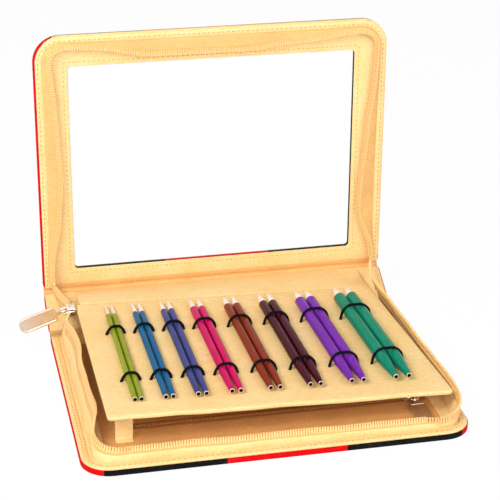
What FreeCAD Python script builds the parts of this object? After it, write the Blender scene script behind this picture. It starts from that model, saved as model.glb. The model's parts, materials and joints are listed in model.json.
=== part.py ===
import FreeCAD, Part
import math
import os

# A zip-around case for interchangeable knitting needles, standing open.
# The base lies flat, the spine slopes up behind it and the framed lid stands upright.
# Millimetres. X runs left to right, Y front to back, Z up.
# The origin is the middle of the underside of the base.

Vector = FreeCAD.Vector
ORIGIN = Vector(0, 0, 0)
X_AXIS = Vector(1, 0, 0)
Y_AXIS = Vector(0, 1, 0)
Z_AXIS = Vector(0, 0, 1)
QUARTER_TURN = 90
HALF_TURN = 180

# Covers: printed fabric round a board, with a lining inside
case_width = 240.0
case_depth = 180.0
cover_fabric = 0.8
board_thickness = 2.0
lining_thickness = 0.8
turn_in = 1.6
front_corner_radius = 18.0
back_corner_radius = 3.0

# Folds between the base, the spine and the lid
fold_spacing = 39.2
crease_allowance = 4.0
spine_angle = 28.1
lid_angle = 90.0
crease_end_inset = 6.0

# Window in the lid
window_side_margin = 22.5
window_near_margin = 14.0
window_far_margin = 21.0
window_corner_radius = 2.5
window_binding_thickness = 0.8
pane_thickness = 0.5
pane_margin = 6.0

# Zip walls of the base and the lid
flange_width = 9.0
gusset_thickness = 1.2
tape_thickness = 0.8
coil_width = 2.6
coil_height = 2.4
base_coil_inset = 14.1
base_gusset_height = 7.4
base_tape_height = 6.0
base_coil_rise = 8.0
base_coil_corner = 15.0
wall_end_gap = 2.0
lid_coil_inset = 16.9
lid_gusset_height = 2.4
lid_gusset_lean = 4.0
lid_tape_height = 1.2
lid_coil_corner = 10.0
lid_wall_start = 16.0

# Needle panel
panel_board_thickness = 2.0
panel_fabric = 0.5
panel_height = 22.0
panel_side_gap = 2.4
panel_front_gap = 7.6
panel_back_gap = 1.0
panel_corner_radius = 3.0
panel_roll = 1.6
panel_roll_pivot = -50.0
hinge_strip_thickness = 0.8
hinge_strip_gap = 0.3
hinge_strip_inset = 4.0
hinge_strip_hem = 3.0

# Needles, held in pairs under elastic loops
needle_diameters = [3.5, 4.0, 4.5, 5.0, 5.5, 6.0, 7.0, 8.0]
needle_length = 132.0
needle_tip_length = 16.0
needle_tip_radius = 0.5
tip_fullness = 0.68
needle_step = 0.15
needle_end_taper = 25.0
needle_end_radius = 1.7
needle_socket_radius = 1.1
needle_socket_depth = 10.0
needle_tip_setback = 8.5
needle_rest_gap = 0.2
needle_pair_gap = 0.5
needle_fan = 2.5
panel_left_margin = 16.95
panel_right_margin = 15.55
thick_gap_extra = 2.2
fine_gap_count = 3
upper_loop_from_tip = 38.0
lower_loop_from_tip = 103.0
loop_width = 2.0
loop_thickness = 1.0
loop_clearance = 0.3

# Zip pocket on the floor of the base
pocket_margin = 16.0
pocket_fabric = 0.8
pocket_gap = 0.3
pocket_corner_radius = 6.0
pocket_zip_from_front = 45.0
pocket_zip_left_margin = 37.0
pocket_zip_right_margin = 22.0
pocket_tape_width = 5.0
pocket_tape_tail = 3.0
pocket_coil_width = 2.4
pocket_coil_height = 1.4

# Tab that carries the panel
stay_tab_width = 11.0
stay_tab_thickness = 1.2
stay_tab_from_left = 28.5
stay_tab_from_front = 33.0
stay_tab_gap = 0.3

# Zip sliders and their pulls
slider_length = 9.6
slider_wall = 1.0
slider_clearance = 0.35
slider_bridge = 1.4
slider_skirt = 1.2
slider_end_gap = 0.2
pin_radius = 0.8
pin_clearance = 0.2
pin_standoff = 2.6
lug_thickness = 1.0
lug_reach = 1.2
lug_gap = 0.3
lug_sink = 0.5
pull_eye_radius = 2.1
pull_eye_height = 2.4
pull_thickness = 1.6
pull_rim = 1.2
pull_recess = 0.3
pull_neck = 5.0
pull_end_flat = 0.4
pull_shoulder_radius = 2.0
main_pull_length = 31.0
main_pull_width = 11.0
main_pull_droop = 16.0
main_pull_yaw = 6.0
pocket_pull_length = 25.0
pocket_pull_width = 11.0
pocket_pull_droop = 3.0
pocket_pin_gap = 0.4

# Sizes that follow from the ones above
cover_thickness = cover_fabric + board_thickness + lining_thickness
half_width = case_width / 2
half_depth = case_depth / 2
board_top = cover_fabric + board_thickness
fold_y = half_depth + crease_allowance
cover_far = crease_allowance + case_depth
spine_far = fold_spacing - crease_allowance
spine_run = Vector(0, math.cos(math.radians(spine_angle)), math.sin(math.radians(spine_angle)))
spine_normal = Vector(0, -spine_run.z, spine_run.y)
base_fold = Vector(0, fold_y, 0)
lid_fold = base_fold + spine_run * fold_spacing
base_tape_bottom = cover_thickness + base_gusset_height
base_coil_bottom = base_tape_bottom + base_tape_height
base_wall_start = crease_allowance + wall_end_gap
coil_front_y = -half_depth + base_coil_inset
coil_run = case_depth - wall_end_gap - base_coil_inset
coil_tilt = math.degrees(math.atan2(base_coil_rise, coil_run))
panel_thickness = panel_board_thickness + 2 * panel_fabric
panel_top = panel_height + panel_thickness
panel_half_width = half_width - base_coil_inset - coil_width / 2 - panel_side_gap
panel_back = half_depth - panel_back_gap
panel_front = coil_front_y + coil_width / 2 + panel_front_gap
needle_tip_y = panel_back - needle_tip_setback
pocket_bottom = cover_thickness + pocket_gap
pocket_top = pocket_bottom + pocket_fabric
pocket_zip_left = -half_width + pocket_zip_left_margin
pocket_zip_right = half_width - pocket_zip_right_margin
pocket_zip_length = pocket_zip_right - pocket_zip_left
pocket_zip_y = -half_depth + pocket_zip_from_front


def save(shape, name):
    """Write one piece, or a group of separate like pieces, to its own file."""
    shape.exportStep("parts/" + name + ".step")


def turned(shape, axis, angle, centre=ORIGIN):
    """A copy of a shape turned about an axis through a point."""
    copy = shape.copy()
    copy.rotate(centre, axis, angle)
    return copy


def moved(shape, offset):
    """A copy of a shape moved by an offset."""
    copy = shape.copy()
    copy.translate(offset)
    return copy


# A cover is drawn flat: X across, Y away from its fold and Z from its outer face inwards


def on_base(shape):
    """Lay a flat cover drawing forward of the base fold."""
    return moved(turned(shape, Z_AXIS, HALF_TURN), base_fold)


def on_spine(shape):
    """Lay a flat cover drawing along the sloping spine."""
    return moved(turned(shape, X_AXIS, spine_angle), base_fold)


def on_lid(shape):
    """Stand a flat cover drawing up from the lid fold."""
    return moved(turned(shape, X_AXIS, lid_angle), lid_fold)


def tilted(shape):
    """Tilt a shape to the line of the base coil, which rises towards the back."""
    return turned(shape, X_AXIS, coil_tilt, Vector(0, coil_front_y, base_coil_bottom))


def arc_edge(centre, radius, start, end):
    """A circular edge about a vertical axis between two angles in degrees."""
    points = []
    for angle in (start, (start + end) / 2, end):
        turn = math.radians(angle)
        points.append(centre + Vector(math.cos(turn), math.sin(turn), 0) * radius)
    return Part.Arc(*points).toShape(), points[0], points[2]


def rounded_wire(corners, z):
    """A closed wire through corners given anticlockwise as x, y and radius, sides along X and Y."""
    edges = []
    first = None
    last = None
    for index, (x, y, radius) in enumerate(corners):
        inward_x = 1 if index in (0, 3) else -1
        inward_y = 1 if index in (0, 1) else -1
        centre = Vector(x + inward_x * radius, y + inward_y * radius, z)
        start = HALF_TURN + QUARTER_TURN * index
        edge, begin, finish = arc_edge(centre, radius, start, start + QUARTER_TURN)
        if last is None:
            first = begin
        else:
            edges.append(Part.makeLine(last, begin))
        edges.append(edge)
        last = finish
    edges.append(Part.makeLine(last, first))
    return Part.Wire(edges)


def rounded_plate(half_x, y_low, y_high, low_radius, high_radius, z_low, z_high):
    """A flat plate with one corner radius at each end."""
    corners = [
        (-half_x, y_low, low_radius),
        (half_x, y_low, low_radius),
        (half_x, y_high, high_radius),
        (-half_x, y_high, high_radius),
    ]
    face = Part.Face(rounded_wire(corners, z_low))
    return face.extrude(Vector(0, 0, z_high - z_low))


def cover_plate(far, far_radius, inset, z_low, z_high):
    """A flat layer of a cover, drawn in by an inset all round."""
    near_radius = max(back_corner_radius - inset, back_corner_radius / 2)
    low = crease_allowance + inset
    high = far - inset
    return rounded_plate(half_width - inset, low, high, near_radius, far_radius - inset, z_low, z_high)


def cover_layers(far, far_radius):
    """The printed outer fabric, turned in over the edge, and the board and lining that it holds."""
    board = cover_plate(far, far_radius, cover_fabric, cover_fabric, board_top)
    lining = cover_plate(far, far_radius, turn_in, board_top, cover_thickness)
    outer = cover_plate(far, far_radius, 0, 0, cover_thickness).cut(board).cut(lining)
    return outer, board, lining


def window_block(margin, z_low, z_high):
    """A block the size of the window and a margin, for cutting and filling it."""
    half_x = half_width - window_side_margin + margin
    low = crease_allowance + window_near_margin - margin
    high = cover_far - window_far_margin + margin
    radius = window_corner_radius + margin
    return rounded_plate(half_x, low, high, radius, radius, z_low, z_high)


def wall_wire(near, middle_inset, thickness, corner_radius, z):
    """The closed outline of a wall that follows the two sides and the far end of a cover."""
    outer_x = half_width - middle_inset + thickness / 2
    outer_y = cover_far - middle_inset + thickness / 2
    inner_x = outer_x - thickness
    inner_y = outer_y - thickness
    outer_radius = corner_radius + thickness / 2
    inner_radius = corner_radius - thickness / 2
    right = Vector(outer_x - outer_radius, outer_y - outer_radius, z)
    left = Vector(-right.x, right.y, z)
    outer_right, outer_right_start, outer_right_end = arc_edge(right, outer_radius, 0, QUARTER_TURN)
    outer_left, outer_left_start, outer_left_end = arc_edge(left, outer_radius, QUARTER_TURN, HALF_TURN)
    inner_left, inner_left_start, inner_left_end = arc_edge(left, inner_radius, HALF_TURN, QUARTER_TURN)
    inner_right, inner_right_start, inner_right_end = arc_edge(right, inner_radius, QUARTER_TURN, 0)
    right_outer_foot = Vector(outer_x, near, z)
    left_outer_foot = Vector(-outer_x, near, z)
    left_inner_foot = Vector(-inner_x, near, z)
    right_inner_foot = Vector(inner_x, near, z)
    return Part.Wire(
        [
            Part.makeLine(right_outer_foot, outer_right_start),
            outer_right,
            Part.makeLine(outer_right_end, outer_left_start),
            outer_left,
            Part.makeLine(outer_left_end, left_outer_foot),
            Part.makeLine(left_outer_foot, left_inner_foot),
            Part.makeLine(left_inner_foot, inner_left_start),
            inner_left,
            Part.makeLine(inner_left_end, inner_right_start),
            inner_right,
            Part.makeLine(inner_right_end, right_inner_foot),
            Part.makeLine(right_inner_foot, right_outer_foot),
        ]
    )


def wall_between(lower, upper):
    """A solid wall between two outlines of wall_wire."""
    return Part.makeLoft([lower, upper], True, True)


def sheet_across(points, half_length):
    """A sheet of constant section: points in the YZ plane, drawn out along X."""
    corners = [Vector(-half_length, point.y, point.z) for point in points]
    face = Part.Face(Part.makePolygon(corners + [corners[0]]))
    return face.extrude(Vector(2 * half_length, 0, 0))


def meeting_point(point, direction, other, other_direction):
    """Where two lines in the YZ plane cross."""
    across = direction.y * other_direction.z - direction.z * other_direction.y
    gap = other - point
    share = (gap.y * other_direction.z - gap.z * other_direction.y) / across
    return point + direction * share


def base_cover():
    """Outer fabric, board and lining of the base."""
    outer, board, lining = cover_layers(cover_far, front_corner_radius)
    save(on_base(outer), "base_outer_cover")
    save(on_base(board), "base_board")
    save(on_base(lining), "base_lining")


def spine_cover():
    """Outer fabric, board and lining of the spine."""
    outer, board, lining = cover_layers(spine_far, back_corner_radius)
    save(on_spine(outer), "spine_outer_cover")
    save(on_spine(board), "spine_board")
    save(on_spine(lining), "spine_lining")


def lid_cover():
    """Outer fabric, board and lining of the lid, with the bound window and its clear pane."""
    outer, board, lining = cover_layers(cover_far, front_corner_radius)
    opening = window_block(0, 0, cover_thickness)
    bound = window_block(window_binding_thickness, cover_fabric, cover_thickness)
    pane = window_block(pane_margin, cover_fabric, cover_fabric + pane_thickness)
    binding_low = cover_fabric + pane_thickness
    binding = window_block(window_binding_thickness, binding_low, cover_thickness).cut(opening)
    save(on_lid(outer.cut(opening)), "lid_outer_cover")
    save(on_lid(board.cut(bound).cut(pane)), "lid_board")
    save(on_lid(lining.cut(bound)), "lid_lining")
    save(on_lid(pane), "window_pane")
    save(on_lid(binding), "window_binding")


def crease_fabrics():
    """The fabric and the lining that bend at the two folds."""
    half_length = half_width - crease_end_inset
    inward = spine_normal
    lid_inward = Vector(0, -1, 0)
    up = Z_AXIS
    base_edge = Vector(0, half_depth, 0)
    spine_start = base_fold + spine_run * crease_allowance
    spine_end = base_fold + spine_run * spine_far
    lid_edge = lid_fold + up * crease_allowance
    base_inner = meeting_point(
        base_edge + up * cover_fabric, Y_AXIS, spine_start + inward * cover_fabric, spine_run
    )
    lid_inner = meeting_point(
        spine_end + inward * cover_fabric, spine_run, lid_edge + lid_inward * cover_fabric, up
    )
    base_outside = [
        base_edge,
        base_fold,
        spine_start,
        spine_start + inward * cover_fabric,
        base_inner,
        base_edge + up * cover_fabric,
    ]
    base_inside = [
        base_edge + up * board_top,
        spine_start + inward * board_top,
        spine_start + inward * cover_thickness,
        base_edge + up * cover_thickness,
    ]
    lid_outside = [
        spine_end,
        lid_fold,
        lid_edge,
        lid_edge + lid_inward * cover_fabric,
        lid_inner,
        spine_end + inward * cover_fabric,
    ]
    lid_inside = [
        spine_end + inward * board_top,
        lid_edge + lid_inward * board_top,
        lid_edge + lid_inward * cover_thickness,
        spine_end + inward * cover_thickness,
    ]
    save(sheet_across(base_outside, half_length), "base_crease_fabric")
    save(sheet_across(base_inside, half_length), "base_crease_lining")
    save(sheet_across(lid_outside, half_length), "lid_crease_fabric")
    save(sheet_across(lid_inside, half_length), "lid_crease_lining")


def base_zip_wall():
    """The soft wall of the base: gusset, zip tape and coil, leaning in and rising to the back."""
    corner_foot = front_corner_radius - flange_width
    foot_inset = flange_width + gusset_thickness / 2
    lean = (base_coil_inset - foot_inset) / (base_gusset_height + base_tape_height)
    seam_inset = foot_inset + lean * base_gusset_height
    corner_lean = (base_coil_corner - corner_foot) / (base_gusset_height + base_tape_height)
    seam_corner = corner_foot + corner_lean * base_gusset_height
    start = base_wall_start
    foot = wall_wire(start, foot_inset, gusset_thickness, corner_foot, cover_thickness)
    seam = wall_wire(start, seam_inset, gusset_thickness, seam_corner, base_tape_bottom)
    tape_foot = wall_wire(start, seam_inset, tape_thickness, seam_corner, base_tape_bottom)
    tape_head = wall_wire(start, base_coil_inset, tape_thickness, base_coil_corner, base_coil_bottom)
    coil_foot = wall_wire(start, base_coil_inset, coil_width, base_coil_corner, base_coil_bottom)
    coil = Part.Face(coil_foot).extrude(Vector(0, 0, coil_height))
    save(on_base(wall_between(foot, seam)), "base_gusset")
    save(wall_between(on_base(tape_foot), tilted(on_base(tape_head))), "base_zip_tape")
    save(tilted(on_base(coil)), "base_zip_coil")


def lid_zip_wall():
    """The soft wall of the lid, folded in towards the window."""
    corner_foot = front_corner_radius - flange_width
    foot_inset = flange_width + gusset_thickness / 2
    seam_inset = foot_inset + lid_gusset_lean
    seam_height = cover_thickness + lid_gusset_height
    head_height = seam_height + lid_tape_height
    start = lid_wall_start
    foot = wall_wire(start, foot_inset, gusset_thickness, corner_foot, cover_thickness)
    seam = wall_wire(start, seam_inset, gusset_thickness, corner_foot, seam_height)
    tape_foot = wall_wire(start, seam_inset, tape_thickness, corner_foot, seam_height)
    tape_head = wall_wire(start, lid_coil_inset, tape_thickness, lid_coil_corner, head_height)
    coil_foot = wall_wire(start, lid_coil_inset, coil_width, lid_coil_corner, head_height)
    coil = Part.Face(coil_foot).extrude(Vector(0, 0, coil_height))
    save(on_lid(wall_between(foot, seam)), "lid_gusset")
    save(on_lid(wall_between(tape_foot, tape_head)), "lid_zip_tape")
    save(on_lid(coil), "lid_zip_coil")


def zip_bridges():
    """The loose stretch of zip at each back corner, from the base coil to the lid coil."""
    back_y = half_depth - wall_end_gap
    lid_low = cover_thickness + lid_gusset_height + lid_tape_height
    base_x = half_width - base_coil_inset
    lid_x = half_width - lid_coil_inset
    half = tape_thickness / 2
    for side, name in ((-1, "left_zip_bridge"), (1, "right_zip_bridge")):
        base_end = []
        lid_end = []
        for across, along in ((-half, 0), (half, 0), (half, coil_height), (-half, coil_height)):
            base_end.append(Vector(side * base_x + across, back_y, base_coil_bottom + along))
            lid_end.append(Vector(side * lid_x + across, lid_wall_start, lid_low + coil_height - along))
        low = tilted(Part.makePolygon(base_end + [base_end[0]]))
        high = on_lid(Part.makePolygon(lid_end + [lid_end[0]]))
        save(Part.makeLoft([low, high], True, True), name)


def on_panel(shape):
    """A shape drawn on a level panel, set as the panel lies, with its right side a little lower."""
    return turned(shape, Y_AXIS, panel_roll, Vector(panel_roll_pivot, 0, panel_height))


def hinge_strip_end(side):
    """The outline of one end of the fabric strip between the panel and the spine."""
    x = side * (panel_half_width - hinge_strip_inset)
    front = Part.Vertex(x, panel_back + hinge_strip_gap, panel_top)
    front = on_panel(front).Point
    lining_end = base_fold + spine_run * spine_far + spine_normal * cover_thickness
    hem_start = lining_end - spine_run * (hinge_strip_hem + turn_in)
    hem_end = lining_end - spine_run * turn_in
    corners = [
        front - Z_AXIS * hinge_strip_thickness,
        hem_start,
        hem_end,
        hem_end + spine_normal * hinge_strip_thickness,
        front,
    ]
    corners = [Vector(x, corner.y, corner.z) for corner in corners]
    return Part.makePolygon(corners + [corners[0]])


def needle_panel():
    """The covered board that the needles lie on, and the fabric strip that hinges it."""
    size = (panel_half_width, panel_front, panel_back, panel_corner_radius, panel_corner_radius)
    outside = rounded_plate(*size, panel_height, panel_top)
    board = rounded_plate(
        panel_half_width - panel_fabric,
        panel_front + panel_fabric,
        panel_back - panel_fabric,
        panel_corner_radius - panel_fabric,
        panel_corner_radius - panel_fabric,
        panel_height + panel_fabric,
        panel_top - panel_fabric,
    )
    save(on_panel(outside.cut(board)), "panel_cover")
    save(on_panel(board), "panel_board")
    strip = Part.makeLoft([hinge_strip_end(-1), hinge_strip_end(1)], True, True)
    save(strip, "panel_hinge_strip")


def needle_pairs():
    """The middle of each pair across the panel, from the thinnest to the thickest."""
    widths = [2 * diameter + needle_pair_gap for diameter in needle_diameters]
    gaps = len(widths) - 1
    room = 2 * panel_half_width - panel_left_margin - panel_right_margin - sum(widths)
    fine_gap = (room - thick_gap_extra * (gaps - fine_gap_count)) / gaps
    places = []
    left = -panel_half_width + panel_left_margin
    for index, width in enumerate(widths):
        places.append((left + width / 2, needle_diameters[index]))
        left += width + fine_gap
        if index >= fine_gap_count:
            left += thick_gap_extra
    return places


def needle(diameter):
    """One needle drawn along Y with its point at the origin and a drilled socket in its end."""
    radius = diameter / 2
    neck = radius - needle_step
    end_radius = min(radius - needle_step, needle_end_radius)
    end = -needle_length
    socket = end + needle_socket_depth
    point = Vector(needle_tip_radius, 0, 0)
    swell = Vector(needle_tip_radius + (neck - needle_tip_radius) * tip_fullness, -needle_tip_length / 2, 0)
    shoulder = Vector(neck, -needle_tip_length, 0)
    corners = [
        shoulder,
        Vector(radius, -needle_tip_length, 0),
        Vector(radius, end + needle_end_taper, 0),
        Vector(end_radius, end, 0),
        Vector(needle_socket_radius, end, 0),
        Vector(needle_socket_radius, socket, 0),
        Vector(0, socket + needle_socket_radius, 0),
        ORIGIN,
        point,
    ]
    edges = [Part.Arc(point, swell, shoulder).toShape()]
    for start, finish in zip(corners, corners[1:]):
        edges.append(Part.makeLine(start, finish))
    return Part.Face(Part.Wire(edges)).revolve(ORIGIN, Y_AXIS, 2 * HALF_TURN)


def elastic_loop(diameter):
    """An elastic arch over one pair, drawn upright with its feet at the origin's height."""
    radius = diameter / 2
    spread = radius + needle_pair_gap / 2
    height = needle_rest_gap + radius
    inner = radius + loop_clearance
    outer = inner + loop_thickness
    left = Vector(-spread, height, 0)
    right = Vector(spread, height, 0)
    outer_right, outer_right_start, outer_right_end = arc_edge(right, outer, 0, QUARTER_TURN)
    outer_left, outer_left_start, outer_left_end = arc_edge(left, outer, QUARTER_TURN, HALF_TURN)
    inner_left, inner_left_start, inner_left_end = arc_edge(left, inner, HALF_TURN, QUARTER_TURN)
    inner_right, inner_right_start, inner_right_end = arc_edge(right, inner, QUARTER_TURN, 0)
    feet = [Vector(point.x, 0, 0) for point in (outer_right_start, outer_left_end)]
    inner_feet = [Vector(point.x, 0, 0) for point in (inner_left_start, inner_right_end)]
    wire = Part.Wire(
        [
            Part.makeLine(feet[0], outer_right_start),
            outer_right,
            Part.makeLine(outer_right_end, outer_left_start),
            outer_left,
            Part.makeLine(outer_left_end, feet[1]),
            Part.makeLine(feet[1], inner_feet[0]),
            Part.makeLine(inner_feet[0], inner_left_start),
            inner_left,
            Part.makeLine(inner_left_end, inner_right_start),
            inner_right,
            Part.makeLine(inner_right_end, inner_feet[1]),
            Part.makeLine(inner_feet[1], feet[0]),
        ]
    )
    flat = Part.Face(wire).extrude(Vector(0, 0, loop_width))
    return turned(flat, X_AXIS, QUARTER_TURN)


def needle_set():
    """Each needle as its own piece, and the two elastic loops over each pair; the pairs fan out a little."""
    pairs = needle_pairs()
    for index, (middle, diameter) in enumerate(pairs):
        number = str(index + 1)
        fan = needle_fan * index / (len(pairs) - 1)
        tip = Vector(middle, needle_tip_y, panel_top)
        height = needle_rest_gap + diameter / 2
        spread = (diameter + needle_pair_gap) / 2
        for side, word in ((-1, "left"), (1, "right")):
            beside = moved(needle(diameter), Vector(side * spread, 0, height))
            lying = moved(turned(beside, Z_AXIS, fan), tip)
            save(on_panel(lying), "needle_" + number + "_" + word)
        loops = []
        for from_tip in (upper_loop_from_tip, lower_loop_from_tip):
            over = moved(elastic_loop(diameter), Vector(0, loop_width / 2 - from_tip, 0))
            loops.append(on_panel(moved(turned(over, Z_AXIS, fan), tip)))
        save(Part.makeCompound(loops), "elastic_loops_" + number)


def floor_pocket():
    """The flat pocket on the floor of the base, with its own zip."""
    sheet = rounded_plate(
        half_width - pocket_margin,
        -half_depth + pocket_margin,
        half_depth - pocket_margin,
        pocket_corner_radius,
        pocket_corner_radius,
        pocket_bottom,
        pocket_top,
    )
    tape = Part.makeBox(
        pocket_zip_length + 2 * pocket_tape_tail,
        pocket_tape_width,
        pocket_fabric,
        Vector(pocket_zip_left - pocket_tape_tail, pocket_zip_y - pocket_tape_width / 2, pocket_bottom),
    )
    coil = Part.makeBox(
        pocket_zip_length,
        pocket_coil_width,
        pocket_coil_height,
        Vector(pocket_zip_left, pocket_zip_y - pocket_coil_width / 2, pocket_top),
    )
    save(sheet.cut(tape), "floor_pocket")
    save(tape, "pocket_zip_tape")
    save(coil, "pocket_zip_coil")


def stay_tab():
    """The upright tab that the front of the panel rests on."""
    tab = Part.makeBox(
        stay_tab_width,
        stay_tab_thickness,
        panel_height - stay_tab_gap - pocket_top,
        Vector(
            -half_width + stay_tab_from_left - stay_tab_width / 2,
            -half_depth + stay_tab_from_front - stay_tab_thickness / 2,
            pocket_top,
        ),
    )
    save(tab, "panel_stay_tab")


# A pull is drawn lying along -Y, with its pin along X through the origin and its slider behind it


def pull_plate(length, width):
    """A paddle with a raised rim, a neck and an eye for the pin."""
    half = pull_thickness / 2
    paddle = rounded_plate(
        width / 2, -length, -pull_neck, width / 2 - pull_end_flat, pull_shoulder_radius, -half, half
    )
    inset_end = width / 2 - pull_end_flat - pull_rim
    for low, high in ((half - pull_recess, half), (-half, -half + pull_recess)):
        hollow = rounded_plate(
            width / 2 - pull_rim,
            -length + pull_rim,
            -pull_neck - pull_rim,
            inset_end,
            pull_shoulder_radius - pull_rim / 2,
            low,
            high,
        )
        paddle = paddle.cut(hollow)
    neck_start = Vector(-pull_eye_height / 2, -pull_neck - pull_rim / 2, -half)
    neck = Part.makeBox(pull_eye_height, pull_neck + pull_rim / 2, pull_thickness, neck_start)
    eye_start = Vector(-pull_eye_height / 2, 0, 0)
    eye = Part.makeCylinder(pull_eye_radius, pull_eye_height, eye_start, X_AXIS)
    hole = Part.makeCylinder(pin_radius + pin_clearance, pull_eye_height, eye_start, X_AXIS)
    return paddle.fuse(neck).fuse(eye).cut(hole).removeSplitter()


def pull_bracket():
    """Two lugs and the pin that carry a pull, reaching back into the side of its slider."""
    inner = pull_eye_height / 2 + lug_gap
    outer = inner + lug_thickness
    pin = Part.makeCylinder(pin_radius, 2 * outer, Vector(-outer, 0, 0), X_AXIS)
    depth = lug_reach + pin_standoff + lug_sink
    for low in (-outer, inner):
        lug = Part.makeBox(lug_thickness, depth, 2 * lug_reach, Vector(low, -lug_reach, -lug_reach))
        pin = pin.fuse(lug)
    return pin


def slider_body(channel_width, channel_low, channel_high):
    """A slider drawn along Y with its channel open below."""
    half = channel_width / 2 + slider_wall
    top = channel_high + slider_bridge
    corner = Vector(-half, -slider_length / 2, channel_low)
    block = Part.makeBox(2 * half, slider_length, top - channel_low, corner)
    channel = Part.makeBox(
        channel_width,
        slider_length,
        channel_high - channel_low,
        Vector(-channel_width / 2, -slider_length / 2, channel_low),
    )
    return block.cut(channel)


def main_slider():
    """The slider on the left side of the base coil, at the back, and its hanging pull."""
    skirt_low = base_coil_bottom - slider_skirt
    channel_high = base_coil_bottom + coil_height + slider_clearance
    channel = coil_width + 2 * slider_clearance
    y = half_depth - wall_end_gap - slider_end_gap - slider_length / 2
    x = -half_width + base_coil_inset
    body = moved(slider_body(channel, skirt_low, channel_high), Vector(x, y, 0))
    droop = math.radians(main_pull_droop)
    middle = (skirt_low + channel_high + slider_bridge) / 2
    pin = Vector(
        x - channel / 2 - slider_wall - pin_standoff * math.cos(droop),
        y,
        middle - pin_standoff * math.sin(droop),
    )

    def hung(shape):
        """Stand a lying pull upright and hang it out to the left."""
        upright = turned(turned(shape, Z_AXIS, -QUARTER_TURN), X_AXIS, -QUARTER_TURN)
        drooped = turned(upright, Y_AXIS, -main_pull_droop)
        return moved(turned(drooped, Z_AXIS, main_pull_yaw), pin)

    slider = body.fuse(hung(pull_bracket())).removeSplitter()
    save(tilted(slider), "zip_slider")
    save(tilted(hung(pull_plate(main_pull_length, main_pull_width))), "zip_pull")


def pocket_slider():
    """The slider of the floor pocket at the right end of its zip, and its pull."""
    skirt_low = pocket_top + slider_clearance
    channel_high = pocket_top + pocket_coil_height + slider_clearance
    channel = pocket_coil_width + 2 * slider_clearance
    x = pocket_zip_right - slider_end_gap - slider_length / 2
    y = pocket_zip_y
    body = turned(slider_body(channel, skirt_low, channel_high), Z_AXIS, QUARTER_TURN)
    body = moved(body, Vector(x, y, 0))
    pin_y = y - channel / 2 - slider_wall - pin_standoff
    pin = Vector(x, pin_y, pocket_top + pull_eye_radius + pocket_pin_gap)
    slider = body.fuse(moved(pull_bracket(), pin)).removeSplitter()
    pull = turned(pull_plate(pocket_pull_length, pocket_pull_width), X_AXIS, pocket_pull_droop)
    save(slider, "pocket_slider")
    save(moved(pull, pin), "pocket_pull")


def build():
    """Make every piece of the case."""
    os.makedirs("parts", exist_ok=True)
    base_cover()
    spine_cover()
    lid_cover()
    crease_fabrics()
    base_zip_wall()
    lid_zip_wall()
    zip_bridges()
    needle_panel()
    needle_set()
    floor_pocket()
    stay_tab()
    main_slider()
    pocket_slider()


build()
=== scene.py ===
import json
import math
from contextlib import contextmanager

import bmesh
import bpy
from bpy.props import FloatProperty, FloatVectorProperty, PointerProperty
from mathutils import Matrix, Vector


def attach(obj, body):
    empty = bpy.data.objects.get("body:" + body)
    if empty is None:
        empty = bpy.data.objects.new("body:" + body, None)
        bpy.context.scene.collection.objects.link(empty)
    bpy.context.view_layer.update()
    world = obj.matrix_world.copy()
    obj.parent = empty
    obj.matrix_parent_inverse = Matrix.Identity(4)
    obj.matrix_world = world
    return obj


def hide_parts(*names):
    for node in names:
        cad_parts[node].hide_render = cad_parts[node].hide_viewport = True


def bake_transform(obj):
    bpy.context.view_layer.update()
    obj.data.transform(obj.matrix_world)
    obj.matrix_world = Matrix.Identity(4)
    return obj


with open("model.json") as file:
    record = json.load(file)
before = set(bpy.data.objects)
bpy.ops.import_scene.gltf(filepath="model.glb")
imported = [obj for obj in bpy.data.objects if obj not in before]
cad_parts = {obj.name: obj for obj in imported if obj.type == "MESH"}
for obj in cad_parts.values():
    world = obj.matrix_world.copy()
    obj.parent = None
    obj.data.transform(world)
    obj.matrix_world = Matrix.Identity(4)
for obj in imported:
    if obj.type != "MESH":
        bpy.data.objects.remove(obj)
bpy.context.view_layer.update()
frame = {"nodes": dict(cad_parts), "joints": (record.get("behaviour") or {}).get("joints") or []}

bl_info = {
    "name": "Knitting Needle Case",
    "version": (1, 0, 0),
    "blender": (4, 5, 0),
    "location": "View3D > Sidebar > Needle Case",
    "description": "Dresses an open zip case for knitting needles in cloth, zips, needles and light",
    "category": "Object",
}

MM = 0.001
UP = Vector((0, 0, 1))
FORWARD = Vector((0, -1, 0))

# Sizes of the case in millimetres
HALF_WIDTH = 120.0
COVER_NEAR = 4.0
COVER_FAR = 184.0
SPINE_FAR = 35.2
COVER_THICK = 3.6
BOARD_TOP = 2.8
FABRIC = 0.8
FRONT_CORNER = 18.0
BACK_CORNER = 3.0
TURN_IN = 1.3
WELL_GAP = 0.1
FOLD_GAP = 0.4
SEAM = 1.0
LINING_INSET = 0.45
LINING_RISE = 0.12
ROLL = 0.15
LID_LINING_NEAR = 7.2
LEFT_EDGE = -112.0
LEFT_TUCK = 0.8
RIM_WIDTH = 5.4
RIM_HEIGHT = 1.1
WINDOW_HALF = 97.5
WINDOW_LOW = 18.0
WINDOW_HIGH = 163.0
WINDOW_CORNER = 2.5
WINDOW_BINDING = 0.75
PANEL_HALF = 102.2
PANEL_FRONT = -67.0
PANEL_BACK = 89.0
PANEL_LOW = 22.0
PANEL_TOP = 25.0
PANEL_ROLL = 1.6
PANEL_PIVOT_X = -50.0
PANEL_HEM = 3.0
OVERHANG_BACK = 0.8
OVERHANG_FRONT = 10.5
NEEDLE_SIZES = (3.5, 4.0, 4.5, 5.0, 5.5, 6.0, 7.0, 8.0)
NEEDLE_MIDDLES = (-81.5, -63.2, -43.9, -23.6, -0.1, 24.4, 50.4, 78.4)
NEEDLE_SLOTS = ("green", "blue", "slate", "pink", "copper", "maroon", "purple", "emerald")
NEEDLE_TIP_Y = 80.5
NEEDLE_LENGTH = 132.0
NEEDLE_POINT = 16.0
NEEDLE_TAPER = 25.0
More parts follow.
